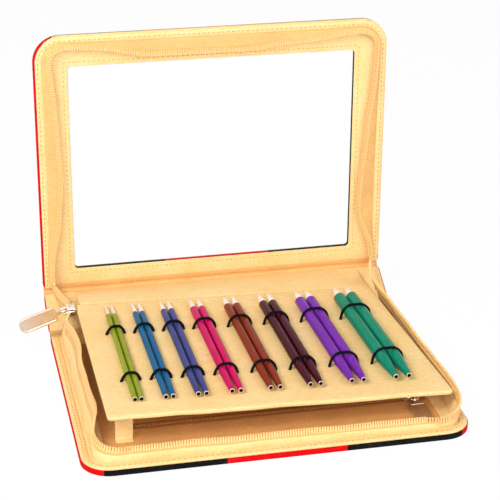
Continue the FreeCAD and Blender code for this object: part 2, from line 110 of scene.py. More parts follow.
NEEDLE_LIFT = 0.2
NEEDLE_FAN = 2.5
SOCKET_RADIUS = 1.16
LOOP_FROM_TIP = (38.0, 103.0)
POCKET_WIDTH = 208.0
POCKET_DEPTH = 148.0
POCKET_HEIGHT = 4.2
POCKET_TAPE_HEIGHT = 5.35
POCKET_TAPE_WIDTH = 7.0
POCKET_TEETH_HEIGHT = 5.75
POCKET_PIN_HEIGHT = 7.2
POCKET_ZIP_Y = -45.0
POCKET_ZIP_LEFT = -83.0
POCKET_ZIP_RIGHT = 98.0
TAB_X = -91.5
TAB_Y = -57.0
TAB_WIDTH = 11.0
TAB_LOW = 4.9
TAB_HEIGHT = 16.6

# Shares of the way from panel to spine that give two points passed with the hinge strip's bodies
STRIP_BEND = (0.02, 0.82)

# Shares of the loose tape's width: below its zip, and how much of that is tucked in at the lid
BRIDGE_FOOT = 0.8
BRIDGE_TUCK = 0.27

# Flat sizes of the cover cloths and sizes of the loose zip, in metres
COVER_FLAT = (0.2472, 0.1872)
SPINE_FLAT = (0.2472, 0.0384)
LINING_FLAT = (0.238, 0.178)
SPINE_LINING_FLAT = (0.238, 0.0293)
WINDOW_AREA = 2 * WINDOW_HALF * (WINDOW_HIGH - WINDOW_LOW) * MM * MM
LEAST_SIDE = 0.01
BRIDGE_WIDTH = 0.0102
BRIDGE_TURN = 0.012


# Frames of the three covers: across, away from the fold, inwards. Drawings are in millimetres.


def turn(axis, degrees):
    return Matrix.Rotation(math.radians(degrees), 4, axis)


def about(point, rotation):
    """A turn about a point."""
    return Matrix.Translation(point) @ rotation @ Matrix.Translation(-point)


def cover_frame(fold, along, inward):
    """The matrix that sets a flat drawing in millimetres on a cover."""
    turned = Matrix((Vector((1, 0, 0)), along, inward)).transposed().to_4x4()
    return Matrix.Translation(fold) @ turned @ Matrix.Scale(MM, 4)


JOINTS = {joint["name"]: joint for joint in frame["joints"]}
BASE_FOLD = Vector(JOINTS["spine_hinge"]["pos_m"])
LID_FOLD = Vector(JOINTS["lid_hinge"]["pos_m"])
SPINE_RUN = (LID_FOLD - BASE_FOLD).normalized()
SPINE_IN = Vector((0, -SPINE_RUN.z, SPINE_RUN.y))
BASE_WAYS = (BASE_FOLD, FORWARD, UP)
SPINE_WAYS = (BASE_FOLD, SPINE_RUN, SPINE_IN)
LID_WAYS = (LID_FOLD, UP, FORWARD)
ON_BASE = cover_frame(*BASE_WAYS)
ON_SPINE = cover_frame(*SPINE_WAYS)
ON_LID = cover_frame(*LID_WAYS)
ON_FLOOR = Matrix.Scale(MM, 4)
ON_PANEL = about(Vector((PANEL_PIVOT_X, 0, PANEL_LOW)), turn("Y", PANEL_ROLL))


def spot(ways, along, inward):
    """A point on a cover, in millimetres of the frame."""
    fold, along_way, inward_way = ways
    return (fold + (along_way * along + inward_way * inward) * MM) / MM


def pair_frame(number, middle):
    """The matrix of one pair of needles: its point on the panel, fanned out and rolled with the panel."""
    fan = NEEDLE_FAN * (number - 1) / (len(NEEDLE_SIZES) - 1)
    return ON_PANEL @ Matrix.Translation((middle, NEEDLE_TIP_Y, PANEL_TOP)) @ turn("Z", fan)


# Settings that a user may change


def shade(*levels):
    """A screen colour as the linear light that shaders use."""
    return tuple(
        level / 12.92 if level <= 0.04045 else ((level + 0.055) / 1.055) ** 2.4
        for level in (number / 255 for number in levels)
    )


def colour(name, description, *levels):
    return FloatVectorProperty(
        name=name, description=description, subtype="COLOR", size=3, min=0, max=1, default=shade(*levels)
    )


def length(name, description, default, least=0.0):
    return FloatProperty(
        name=name, description=description, default=default * MM, min=least * MM, unit="LENGTH"
    )


class CaseSizes(bpy.types.PropertyGroup):
    """Sizes of the trim."""

    tooth_pitch: length("Tooth pitch", "Distance between the teeth of the main zip", 1.65)
    tooth_height: length("Tooth height", "Height of one tooth of the main zip", 4.0)
    pocket_tooth_pitch: length("Pocket tooth pitch", "Distance between the teeth of the pocket zip", 1.7)
    stitch_pitch: length("Stitch pitch", "Distance between two stitches", 3.3)
    stitch_length: length("Stitch length", "Length of one stitch", 1.7)
    stitch_inset: length("Stitch inset", "Distance of the flange stitching from the edge", 2.9)
    window_stitch_inset: length("Window stitch inset", "Distance of the stitching from the window", 3.0)
    elastic_width: length("Elastic width", "Thickness of the round elastic", 1.9)
    block_size: length("Print block", "Width of one colour block of the print", 73.5)
    block_start: length("Print start", "Where a black block begins", -108, -1000)


class CaseColours(bpy.types.PropertyGroup):
    """Colours of the cloth, zips, needles and metal."""

    lining: colour("Lining", "Golden lining cloth", 248, 213, 152)
    lining_shade: colour("Lining shade", "Darker clouds in the lining", 245, 203, 134)
    # The gusset tone is the lining's colour painted darker: painted shade on the lid's wall and in the
    # inside creases.
    gusset: colour("Gusset", "Soft zip wall", 240, 184, 114)
    # The floor tone is the lining's colour painted darker: painted shade on the pocket under the panel.
    floor: colour("Floor", "Pocket cloth on the floor", 226, 164, 96)
    tape: colour("Tape", "Woven zip tape", 232, 180, 112)
    teeth: colour("Teeth", "Nylon zip teeth", 244, 199, 130)
    # The band is painted darker than the teeth: painted shade in the gaps between the teeth.
    band: colour("Band", "Cord under the zip teeth", 204, 146, 82)
    # The pocket zip's tape and teeth are painted darker than the main zip's: painted shade along the pocket
    # zip.
    pocket_tape: colour("Pocket tape", "Woven tape of the pocket zip", 166, 108, 54)
    pocket_teeth: colour("Pocket teeth", "Teeth of the pocket zip", 204, 146, 82)
    thread: colour("Thread", "Sewing thread", 170, 130, 70)
    print_red: colour("Print red", "Red blocks of the print", 200, 0, 8)
    print_black: colour("Print black", "Black blocks of the print", 10, 9, 12)
    elastic: colour("Elastic", "Black elastic", 6, 6, 7)
    pull: colour("Pull", "Satin metal of the pulls", 232, 214, 192)
    slider: colour("Slider", "Bright metal of the sliders", 240, 236, 232)
    point: colour("Point", "Bright metal of the needle points", 248, 236, 230)
    board: colour("Board", "Stiff board", 158, 150, 140)
    needle_1: colour("Needle 1", "Finish of the first pair", 150, 162, 30)
    needle_2: colour("Needle 2", "Finish of the second pair", 10, 98, 146)
    needle_3: colour("Needle 3", "Finish of the third pair", 64, 70, 134)
    needle_4: colour("Needle 4", "Finish of the fourth pair", 210, 0, 96)
    needle_5: colour("Needle 5", "Finish of the fifth pair", 138, 46, 18)
    needle_6: colour("Needle 6", "Finish of the sixth pair", 72, 8, 26)
    needle_7: colour("Needle 7", "Finish of the seventh pair", 122, 40, 170)
    needle_8: colour("Needle 8", "Finish of the eighth pair", 14, 138, 106)


def sizes():
    return bpy.context.scene.case_sizes


def paint(tone):
    """A colour of the case by its name."""
    return tuple(getattr(bpy.context.scene.case_colours, tone))


def dimmed(levels, share):
    return tuple(min(1, level * share) for level in levels)


# Modelling by hand: one primitive, shaped in edit mode, finished with modifiers

PRIMITIVES = {
    "plane": bpy.ops.mesh.primitive_plane_add,
    "grid": bpy.ops.mesh.primitive_grid_add,
    "cube": bpy.ops.mesh.primitive_cube_add,
    "circle": bpy.ops.mesh.primitive_circle_add,
    "cylinder": bpy.ops.mesh.primitive_cylinder_add,
    "torus": bpy.ops.mesh.primitive_torus_add,
}


def deselect():
    if bpy.context.mode != "OBJECT":
        bpy.ops.object.mode_set(mode="OBJECT")
    bpy.ops.object.select_all(action="DESELECT")


def begin(name, kind, **settings):
    """Add a primitive and name it."""
    deselect()
    PRIMITIVES[kind](**settings)
    piece = bpy.context.active_object
    piece.name = name
    piece.data.name = name
    return piece


def grab(piece):
    deselect()
    piece.select_set(True)
    bpy.context.view_layer.objects.active = piece


@contextmanager
def editing(piece):
    grab(piece)
    bpy.ops.object.mode_set(mode="EDIT")
    bpy.ops.mesh.select_all(action="SELECT")
    yield
    bpy.ops.object.mode_set(mode="OBJECT")


def pick(piece, kind, test):
    """Select the vertices, edges or faces of a piece in edit mode that pass a test."""
    bpy.ops.mesh.select_mode(type=kind)
    bpy.ops.mesh.select_all(action="DESELECT")
    mesh = bmesh.from_edit_mesh(piece.data)
    for element in {"VERT": mesh.verts, "EDGE": mesh.edges, "FACE": mesh.faces}[kind]:
        if test(element):
            element.select_set(True)
    mesh.select_flush_mode()
    bmesh.update_edit_mesh(piece.data)


def resize(*value):
    bpy.ops.transform.resize(value=value)


def shift(*value):
    bpy.ops.transform.translate(value=value)


def extrude(height):
    bpy.ops.mesh.extrude_region_move(TRANSFORM_OT_translate={"value": (0, 0, height)})


def face_out():
    """Turn every face of the piece in edit mode outwards."""
    bpy.ops.mesh.select_all(action="SELECT")
    bpy.ops.mesh.normals_make_consistent(inside=False)


def finish_with(piece, kind, **settings):
    """Add a modifier and apply it."""
    grab(piece)
    modifier = piece.modifiers.new(kind.lower(), kind)
    for key, value in settings.items():
        setattr(modifier, key, value)
    bpy.ops.object.modifier_apply(modifier=modifier.name)


def smooth(piece, angle=40):
    grab(piece)
    bpy.ops.object.shade_smooth_by_angle(angle=math.radians(angle))


def soft_edges(piece, width, segments=3):
    finish_with(
        piece, "BEVEL", width=width, segments=segments, limit_method="ANGLE", angle_limit=math.radians(50)
    )
    smooth(piece)


def set_in(piece, matrix):
    """Put a drawing in its place, with its object at the origin."""
    grab(piece)
    bpy.ops.object.transform_apply(location=True, rotation=True, scale=True)
    piece.data.transform(matrix)
    if matrix.determinant() < 0:
        piece.data.flip_normals()
    piece.data.update()


def dress(piece, matrix, body, *finishes, slot=None, replaces=()):
    """Set a drawing in the frame, give it its materials, attach it to its body when it has one, and hide the
    nodes it stands for.
    """
    set_in(piece, matrix)
    piece.data.materials.clear()
    for finish in finishes:
        piece.data.materials.append(finish)
    if isinstance(body, str):
        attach(piece, body)
    else:
        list(body)
        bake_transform(piece)
    if replaces:
        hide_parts(*replaces)


def plate(name, half_x, low, high, low_radius, high_radius, bottom, top, segments=10):
    """A flat plate with rounded corners, raised from a plane."""
    piece = begin(name, "plane", size=1)
    middle = (low + high) / 2
    with editing(piece):
        resize(2 * half_x, high - low, 1)
        shift(0, middle, bottom)
        for radius, side in ((low_radius, -1), (high_radius, 1)):
            pick(piece, "VERT", lambda vertex: (vertex.co.y - middle) * side > 0)
            bpy.ops.mesh.bevel(offset=radius, segments=segments, affect="VERTICES")
        bpy.ops.mesh.select_all(action="SELECT")
        extrude(top - bottom)
        face_out()
    return piece


def window_plate(name, margin, bottom, top):
    """A plate of the window's outline, widened by a margin."""
    corner = WINDOW_CORNER + margin
    return plate(
        name, WINDOW_HALF + margin, WINDOW_LOW - margin, WINDOW_HIGH + margin, corner, corner, bottom, top
    )


def cut_out(piece, cutter):
    """Cut one piece out of another."""
    finish_with(piece, "BOOLEAN", object=cutter, operation="DIFFERENCE", solver="EXACT")
    bpy.data.objects.remove(cutter)


def cloth(name, columns, rows, place, thickness):
    """A sheet of cloth: a grid whose points are laid one by one, given thickness and smoothed."""
    piece = begin(name, "grid", x_subdivisions=columns, y_subdivisions=rows, size=1)
    for vertex in piece.data.vertices:
        vertex.co = place(vertex.co.x + 0.5, vertex.co.y + 0.5)
    piece.data.update()
    finish_with(piece, "SOLIDIFY", thickness=thickness, offset=0.0, use_even_offset=False)
    finish_with(piece, "SUBSURF", levels=1, render_levels=1)
    with editing(piece):
        face_out()
    smooth(piece, 60)
    return piece


def repeat(name, pattern, matrices):
    """One piece made of a pattern's copies, each set by its own matrix."""
    points = [vertex.co.copy() for vertex in pattern.data.vertices]
    faces = [list(face.vertices) for face in pattern.data.polygons]
    all_points = []
    all_faces = []
    for matrix in matrices:
        start = len(all_points)
        all_points.extend(matrix @ point for point in points)
        all_faces.extend([start + index for index in face] for face in faces)
    mesh = bpy.data.meshes.new(name)
    mesh.from_pydata(all_points, [], all_faces)
    mesh.update()
    bpy.data.objects.remove(pattern)
    piece = bpy.data.objects.new(name, mesh)
    bpy.context.collection.objects.link(piece)
    smooth(piece, 35)
    return piece


def joined(first, *others):
    """Join pieces into the first, which keeps its name."""
    deselect()
    for piece in (first, *others):
        piece.select_set(True)
    bpy.context.view_layer.objects.active = first
    bpy.ops.object.join()
    return first


# Lines and soft shapes


def run_of(line):
    """The length of a line of points."""
    return sum((b - a).length for a, b in zip(line, line[1:]))


def evenly(points, pitch, closed=False):
    """Places along a line at an even pitch: the point, the way of the line there, its step and share."""
    line = list(points) + ([points[0]] if closed else [])
    runs = [(b - a).length for a, b in zip(line, line[1:])]
    total = sum(runs)
    count = max(2, round(total / pitch))
    places = []
    index = 0
    passed = 0.0
    for number in range(count):
        mark = (number + 0.5) * total / count
        while index < len(runs) - 1 and passed + runs[index] < mark:
            passed += runs[index]
            index += 1
        share = (mark - passed) / max(runs[index], 1e-9)
        step = line[index + 1] - line[index]
        places.append((line[index] + step * share, step.normalized(), index, share))
    return places


def stand(point, along, up):
    """A matrix that puts a pattern at a point: X along, Z up."""
    across = up.cross(along).normalized()
    upright = along.cross(across).normalized()
    return Matrix.Translation(point) @ Matrix((along, across, upright)).transposed().to_4x4()


def rounded_line(half_x, low, high, low_radius, high_radius, height, open_low=False):
    """Points round a plate's outline, starting at the low left."""
    corners = [
        (-half_x + high_radius, high - high_radius, high_radius, 180),
        (half_x - high_radius, high - high_radius, high_radius, 90),
        (half_x - low_radius, low + low_radius, low_radius, 0),
        (-half_x + low_radius, low + low_radius, low_radius, -90),
    ]
    points = []
    for x, y, radius, start in corners[: 2 if open_low else 4]:
        for step in range(13):
            angle = math.radians(start - 7.5 * step)
            points.append(Vector((x + radius * math.cos(angle), y + radius * math.sin(angle), height)))
    if open_low:
        points.insert(0, Vector((-half_x, low, height)))
        points.append(Vector((half_x, low, height)))
    return points


def ripple(distance, *waves):
    """A soft unevenness: waves of a height, a length and a start."""
    return sum(height * math.sin(2 * math.pi * distance / span + start) for height, span, start in waves)


def ease(low, high, value):
    share = min(max((value - low) / (high - low), 0), 1)
    return share * share * (3 - 2 * share)


def between(knots, share):
    """A smooth value between knots of (share, value)."""
    for (before, low), (after, high) in zip(knots, knots[1:]):
        if share <= after:
            return low + (high - low) * ease(before, after, share)
    return knots[-1][1]


def at(line, position):
    """A point on a line of stations at a fractional index."""
    index = min(int(position), len(line) - 2)
    return line[index].lerp(line[index + 1], position - index)


# Finishes


class Wire:
    """A shader value that takes part in Python arithmetic."""

    def __init__(self, finish, socket):
        self.finish = finish
        self.socket = socket

    def maths(self, operation, *values):
        return self.finish.node("ShaderNodeMath", {"operation": operation}, inputs=(self, *values))

    def __add__(self, other):
        return self.maths("ADD", other)

    def __sub__(self, other):
        return self.maths("SUBTRACT", other)

    def __mul__(self, other):
        return self.maths("MULTIPLY", other)

    def __truediv__(self, other):
        return self.maths("DIVIDE", other)

    def __gt__(self, other):
        return self.maths("GREATER_THAN", other)

    def floor(self):
        return self.maths("FLOOR")

    def wrap(self, span):
        return self.maths("FLOORED_MODULO", span)

    def sine(self):
        return self.maths("SINE")

    def most(self, other):
        return self.maths("MAXIMUM", other)


class Finish:
    """One procedural finish: a principled surface and the nodes that feed it."""

    def __init__(self, name, **constants):
        self.material = bpy.data.materials.new(name)
        self.material.use_nodes = True
        self.tree = self.material.node_tree
        self.tree.nodes.clear()
        self.shader = self.tree.nodes.new("ShaderNodeBsdfPrincipled")
        output = self.tree.nodes.new("ShaderNodeOutputMaterial")
        self.tree.links.new(self.shader.outputs[0], output.inputs["Surface"])
        self.set(**constants)

    def feed(self, socket, value):
        if isinstance(value, Wire):
            self.tree.links.new(value.socket, socket)
        elif hasattr(value, "__len__") and len(value) == 3 and len(socket.default_value) == 4:
            socket.default_value = (*value, 1)
        else:
            socket.default_value = value

    def set(self, **values):
        for key, value in values.items():
            self.feed(self.shader.inputs[key.replace("_", " ")], value)
        return self.material

    def node(self, kind, settings=None, inputs=(), output=0, **named):
        made = self.tree.nodes.new(kind)
        for key, value in (settings or {}).items():
            setattr(made, key, value)
        for index, value in enumerate(inputs):
            self.feed(made.inputs[index], value)
        for key, value in named.items():
            self.feed(made.inputs[key.replace("_", " ")], value)
        return Wire(self, made.outputs[output])

    def place(self, coordinates="Object"):
        return self.node("ShaderNodeTexCoord", output=coordinates)

    def axis(self, place, index):
        return self.node("ShaderNodeSeparateXYZ", inputs=(place,), output=index)

    def stretched(self, place, *scale):
        return self.node("ShaderNodeMapping", Vector=place, Scale=scale)

    def noise(self, place, scale, detail=2.0, roughness=0.5):
        return self.node("ShaderNodeTexNoise", Vector=place, Scale=scale, Detail=detail, Roughness=roughness)

    def cells(self, place, scale):
        return self.node("ShaderNodeTexVoronoi", Vector=place, Scale=scale)

    def mixed(self, share, first, second):
        made = self.tree.nodes.new("ShaderNodeMix")
        made.data_type = "RGBA"
        for index, value in ((0, share), (6, first), (7, second)):
            self.feed(made.inputs[index], value)
        return Wire(self, made.outputs[2])

    def range(self, value, low, high, to_low, to_high):
        return self.node("ShaderNodeMapRange", inputs=(value, low, high, to_low, to_high))

    def spread(self, noise, low, high):
        """A noise's middle range as values from low to high."""
        return self.range(noise, 0.3, 0.7, low, high)

    def mottled(self, share, main, change):
        """A colour that turns darker or lighter by a factor where a share is high."""
        return self.mixed(share, main, dimmed(main, change))

    def bump(self, height, strength, distance):
        return self.node("ShaderNodeBump", Strength=strength, Distance=distance, Height=height)


FINISHES = {}


def finish(maker, *arguments):
    """A finish by its maker and arguments, made once."""
    key = (maker.__name__, *arguments)
    if key not in FINISHES:
        FINISHES[key] = maker(*arguments)
    return FINISHES[key]


def lining_finish(tone):
    """Fine-grained golden lining with soft clouds of colour."""
    made = Finish("lining_" + tone, Specular_IOR_Level=0.25)
    place = made.place()
    main = paint(tone)
    shaded = paint("lining_shade") if tone == "lining" else dimmed(main, 0.86)
    clouds = made.noise(place, 34, 4, 0.55)
    grain = made.noise(place, 1000, 3, 0.65)
    streaks = made.noise(made.stretched(place, 0.3, 1, 1), 760, 3, 0.6)
    pores = made.cells(place, 1150)
    tint = made.mixed(made.range(clouds, 0.35, 0.68, 0, 1), main, shaded)
    speck = made.range(grain * 0.6 + streaks * 0.4, 0.4, 0.64, 0, 0.6)
    return made.set(
        Base_Color=made.mixed(speck, tint, dimmed(shaded, 0.72)),
        Roughness=made.spread(clouds, 0.52, 0.66),
        Normal=made.bump(grain * 0.8 + pores * 0.4 + streaks * 0.8, 0.4, 0.0006),
    )


def woven_finish(tone, along, across):
    """Woven tape: fine ribs along it and rows across it, on the piece's own UV map."""
    made = Finish("woven_" + tone, Roughness=0.7, Specular_IOR_Level=0.2)
    place = made.place("UV")
    ribs = (made.axis(place, 0) * (2 * math.pi * along)).sine()
    rows = (made.axis(place, 1) * (2 * math.pi * across)).sine()
    weave = ribs * rows
    clouds = made.noise(made.place(), 120, 3)
    dark = made.range(weave, -1, 1, 0, 0.5) + made.spread(clouds, 0, 0.4)
    return made.set(
        Base_Color=made.mottled(dark, paint(tone), 0.8),
        Normal=made.bump(weave, 0.35, 0.0003),
    )


def print_finish(row_axis):
    """Printed cloth in plain red and black blocks, woven fine."""
    threads = 7000
    made = Finish("print_rows_" + "xyz"[row_axis], Specular_IOR_Level=0.08)
    place = made.place()
    columns = (made.axis(place, 0) - sizes().block_start) / sizes().block_size
    parity = columns.floor().wrap(2.0) > 0.5
    tint = made.mixed(parity, paint("print_black"), paint("print_red"))
    warp = (made.axis(place, 0) * threads).sine() * (made.axis(place, row_axis) * threads).sine()
    wear = made.noise(place, 260, 4, 0.65)
    dust = (0.5, 0.42, 0.36)
    return made.set(
        Base_Color=made.mixed(made.range(wear, 0.5, 0.8, 0, 0.03), tint, dust),
        Roughness=made.spread(wear, 0.6, 0.75),
        Normal=made.bump(warp * 0.5 + wear, 0.25, 0.0003),
    )


def teeth_finish(tone):
    """Nylon teeth: slightly glossy, with darker clouds."""
    made = Finish("zip_" + tone, Specular_IOR_Level=0.4)
    clouds = made.noise(made.place(), 700, 2)
    return made.set(
        Base_Color=made.mottled(made.range(clouds, 0.35, 0.7, 0, 0.5), paint(tone), 0.84),
        Roughness=made.spread(clouds, 0.32, 0.45),
        Normal=made.bump(clouds, 0.15, 0.0002),
    )


def thread_finish():
    """Twisted sewing thread."""
    made = Finish("sewing_thread", Roughness=0.75, Specular_IOR_Level=0.2)
    twist = made.noise(made.place(), 2600, 2)
    return made.set(
        Base_Color=made.mottled(made.spread(twist, 0, 0.7), paint("thread"), 1.7),
        Normal=made.bump(twist, 0.4, 0.0002),
    )


def elastic_finish():
    """Braided black elastic."""
    strands = 9000
    made = Finish("black_elastic", Roughness=0.8, Specular_IOR_Level=0.04)
    place = made.place()
    one_way = made.axis(place, 0) * strands
    other_way = made.axis(place, 2) * strands
    braid = (one_way + other_way).sine().most((one_way - other_way).sine())
    return made.set(
        Base_Color=made.mixed(made.range(braid, -1, 1, 0, 1), paint("elastic"), (0.008, 0.008, 0.009)),
        Normal=made.bump(braid, 0.4, 0.0002),
    )


def metal_finish(tone, rough_low, rough_high, grain):
    """Cast or polished metal with fine scratches."""
    made = Finish("metal_" + tone, Metallic=1.0)
    place = made.place()
    scratch = made.noise(place, grain, 3, 0.6)
    handled = made.noise(place, 160, 2)
    return made.set(
        Base_Color=made.mottled(made.range(handled, 0.35, 0.7, 0, 0.35), paint(tone), 0.82),
        Roughness=made.spread(scratch, rough_low, rough_high),
        Normal=made.bump(scratch, 0.12, 0.0002),
    )


def needle_finish(tone):
    """Coloured anodised metal, drawn along its length."""
    made = Finish("anodised_" + tone, Specular_IOR_Level=0.06, Coat_Weight=0.04, Coat_Roughness=0.1)
    place = made.place()
    drawn = made.noise(made.stretched(place, 10, 1, 10), 120, 3, 0.6)
    wear = made.noise(place, 90, 2)
    dark = made.range(drawn, 0.42, 0.68, 0, 0.55) + made.range(wear, 0.4, 0.75, 0, 0.2)
    return made.set(
        Base_Color=made.mottled(dark, paint(tone), 0.5),
        Metallic=made.spread(drawn, 0.3, 0.2),
        Roughness=made.spread(drawn, 0.22, 0.34),
        Normal=made.bump(drawn, 0.06, 0.0002),
    )


def socket_shade_finish():
    """The inside of a drilled socket, painted near black: painted shade."""
    made = Finish("dark_socket", Metallic=0.6)
    clouds = made.noise(made.place(), 1500, 2)
    return made.set(
        Base_Color=made.mixed(clouds, (0.012, 0.011, 0.011), (0.03, 0.028, 0.028)),
        Roughness=made.spread(clouds, 0.5, 0.7),
    )


def pane_finish():
    """Clear flexible sheet with a faint haze."""
    made = Finish("clear_sheet", Base_Color=(1, 1, 1), Specular_IOR_Level=0.3)
    haze = made.noise(made.place(), 40, 3)
    return made.set(Alpha=made.spread(haze, 0.03, 0.06), Roughness=made.spread(haze, 0.04, 0.1))


def board_finish():
    """Grey pressed board."""
    made = Finish("pressed_board", Roughness=0.85)
    fibre = made.noise(made.place(), 600, 4, 0.65)
    return made.set(
        Base_Color=made.mottled(made.spread(fibre, 0, 1), paint("board"), 0.75),
        Normal=made.bump(fibre, 0.3, 0.0004),
    )


# Stations round a cover: left side, corner, far end, corner, right side

SIDES = (("left", 64), ("left_corner", 14), ("far", 76), ("right_corner", 14), ("right", 64))
STATIONS = sum(count for _, count in SIDES)


def station_side(index):
    """The side that a station is on, its step along it and the side's number of steps."""
    for side, count in SIDES:
        if index < count:
            return side, index, count
        index -= count
    return side, count, count


def calm_at_ends(index, reach):
    """A factor that is 0 at a side's ends and round the corners, and 1 away from them."""
    side, step, count = station_side(index)
    share = 0.0 if "corner" in side else step / count
    return ease(0, reach, share) * ease(0, reach, 1 - share)


def wall_track(inset, radius, near):
    """Every station of a line round a cover, with the way outwards."""
    half = HALF_WIDTH - inset
    far = COVER_FAR - inset
    track = []
    for index in range(STATIONS + 1):
        side, step, count = station_side(index)
        angle = math.pi / 2 * step / count
        if side == "left":
            out = Vector((-1, 0, 0))
            point = Vector((-half, near + (far - radius - near) * step / count, 0))
        elif side == "left_corner":
            out = Vector((-math.cos(angle), math.sin(angle), 0))
            point = Vector((-half + radius, far - radius, 0)) + out * radius
        elif side == "far":
            out = Vector((0, 1, 0))
            point = Vector(((half - radius) * (2 * step / count - 1), far, 0))
        elif side == "right_corner":
            out = Vector((math.sin(angle), math.cos(angle), 0))
            point = Vector((half - radius, far - radius, 0)) + out * radius
        else:
            out = Vector((1, 0, 0))
            point = Vector((half, far - radius + (near - far + radius) * step / count, 0))
        track.append((point, out))
    return track


def inward_at(line, position):
    """The level way inwards from a line of stations."""
    ahead = at(line, min(position + 0.5, STATIONS)) - at(line, max(position - 0.5, 0))
    return ahead.cross(UP).normalized()


# Covers


def padded_rim():
    """The padded edge of a cover's lining, from one end of the fold round to the other."""
    outer = [point for point, _ in wall_track(0.5, FRONT_CORNER - 0.5, COVER_NEAR + 1)]
    inner = [point for point, _ in wall_track(RIM_WIDTH, FRONT_CORNER - RIM_WIDTH, COVER_NEAR + 1)]

    def place(across, inward):
        position = across * STATIONS
        swell = RIM_HEIGHT * math.sin(math.pi * (0.04 + 0.92 * inward)) ** 0.6
        return at(outer, position).lerp(at(inner, position), inward) + UP * (COVER_THICK + swell)

    return cloth("rim", STATIONS, 6, place, 0.5)


def cover_outside(body, far, far_corner):
    """The printed outside of a cover, turned in over its edge."""
    piece = plate(body + "_print", HALF_WIDTH, COVER_NEAR, far, BACK_CORNER, far_corner, 0, COVER_THICK)

    def at_fold(vertex):
        y = vertex.co.y
        near = y < COVER_NEAR + TURN_IN + 0.1
        return vertex.co.z > 1 and (near or far == SPINE_FAR and y > far - TURN_IN - 0.1)

    with editing(piece):
        pick(piece, "FACE", lambda face: face.normal.z > 0.9)
        bpy.ops.mesh.inset(thickness=TURN_IN, depth=0)
        extrude(FABRIC - COVER_THICK + WELL_GAP)
        pick(piece, "VERT", at_fold)
        shift(0, 0, FABRIC - COVER_THICK + FOLD_GAP)
    return piece


def cover_lining(body, far, far_corner, window):
    """The lining that the outside frames. The lid's lining rolls over its edge."""
    inset = -ROLL if window else LINING_INSET
    near = LID_LINING_NEAR if window else COVER_NEAR - inset
    bottom = FABRIC + 0.2 if window else BOARD_TOP
    piece = plate(
        body + "_lining_cloth",
        HALF_WIDTH - inset,
        near,
        far - inset,
        BACK_CORNER - inset,
        far_corner - inset,
        bottom,
        COVER_THICK + LINING_RISE,
    )
    if window:
        with editing(piece):
            pick(piece, "VERT", lambda vertex: vertex.co.x < 0)
            shift(LINING_INSET + ROLL, 0, 0)
    return piece


def cover_pair(body, far, far_corner, matrix, row_axis, print_flat, lining_flat, window=False):
    """The printed outside of a cover and its lining."""
    outside = cover_outside(body, far, far_corner)
    lining = cover_lining(body, far, far_corner, window)
    if window:
        for piece, margin in ((outside, 0.0), (lining, LINING_RISE)):
            cut_out(piece, window_plate("cutter", margin, -1, COVER_THICK + 1))
    soft_edges(outside, 0.7)
    soft_edges(lining, 0.35)
    if far > SPINE_FAR:
        joined(lining, padded_rim())
    if window:
        with editing(lining):
            pick(lining, "VERT", lambda vertex: vertex.co.x < LEFT_EDGE)
            shift(LEFT_TUCK, 0, 0)
    printed = finish(print_finish, row_axis)
    dress(outside, matrix, body, printed, slot="printed_fabric", replaces=(body + "_outer_cover",))
    golden = finish(lining_finish, "lining")
    dress(lining, matrix, body, golden, slot="lining", replaces=(body + "_lining",))
    for piece, flat, held in ((outside, print_flat, "folded"), (lining, lining_flat, "stretched")):
        holed = {"area": flat[0] * flat[1] - WINDOW_AREA} if window else {}


def stitch_row(name, points, matrix, body, closed=False):
    """A row of stitches along a line."""
    long = sizes().stitch_length / MM
    pattern = begin("stitch", "cube", size=1)
    with editing(pattern):
        resize(long, 0.55, 0.4)
        bpy.ops.mesh.bevel(offset=0.16, segments=1)
        pick(pattern, "VERT", lambda vertex: abs(vertex.co.x) > 0.3 * long)
        shift(0, 0, -0.12)
    places = evenly(points, sizes().stitch_pitch / MM, closed)
    piece = repeat(name, pattern, [stand(point + UP * 0.1, along, UP) for point, along, _, _ in places])
    dress(piece, matrix, body, finish(thread_finish))


def edge_stitches(body, matrix):
    """The stitches along the padded edge of a cover."""
    inset = sizes().stitch_inset / MM
    height = COVER_THICK + RIM_HEIGHT + 0.2
    line = rounded_line(
        HALF_WIDTH - inset, COVER_NEAR + 2, COVER_FAR - inset, 1, FRONT_CORNER - inset, height, True
    )
    stitch_row(body + "_stitches", line, matrix, body)


class CaseBase(bpy.types.Operator):
    """Make the base: printed outside, lining and stitched edge."""

    bl_idname = "case.base"
    bl_label = "Base"

    def execute(self, context):
        cover_pair("base", COVER_FAR, FRONT_CORNER, ON_BASE, 1, COVER_FLAT, LINING_FLAT)
        edge_stitches("base", ON_BASE)
        return {"FINISHED"}


class CaseSpine(bpy.types.Operator):
    """Make the spine: printed outside and lining."""

    bl_idname = "case.spine"
    bl_label = "Spine"

    def execute(self, context):
        cover_pair("spine", SPINE_FAR, BACK_CORNER, ON_SPINE, 1, SPINE_FLAT, SPINE_LINING_FLAT)
        return {"FINISHED"}


class CaseLid(bpy.types.Operator):
    """Make the lid: printed outside, lining, bound window and stitching."""

    bl_idname = "case.lid"
    bl_label = "Lid"

    def execute(self, context):
        cover_pair("lid", COVER_FAR, FRONT_CORNER, ON_LID, 2, COVER_FLAT, LINING_FLAT, True)
        rim = window_plate("window_rim_cloth", WINDOW_BINDING, 1.35, COVER_THICK - 0.3)
        cut_out(rim, window_plate("cutter", 0.0, 0, COVER_THICK + 1))
        soft_edges(rim, 0.25, 2)
        printed = finish(print_finish, 2)
        dress(rim, ON_LID, "lid", printed, slot="printed_fabric", replaces=("window_binding",))
        edge_stitches("lid", ON_LID)
        around = sizes().window_stitch_inset / MM
        low, high = WINDOW_LOW - around, WINDOW_HIGH + around
        line = rounded_line(WINDOW_HALF + around, low, high, 1.5, 1.5, COVER_THICK + 0.05)
        stitch_row("window_stitches", line, ON_LID, "lid", True)
        return {"FINISHED"}


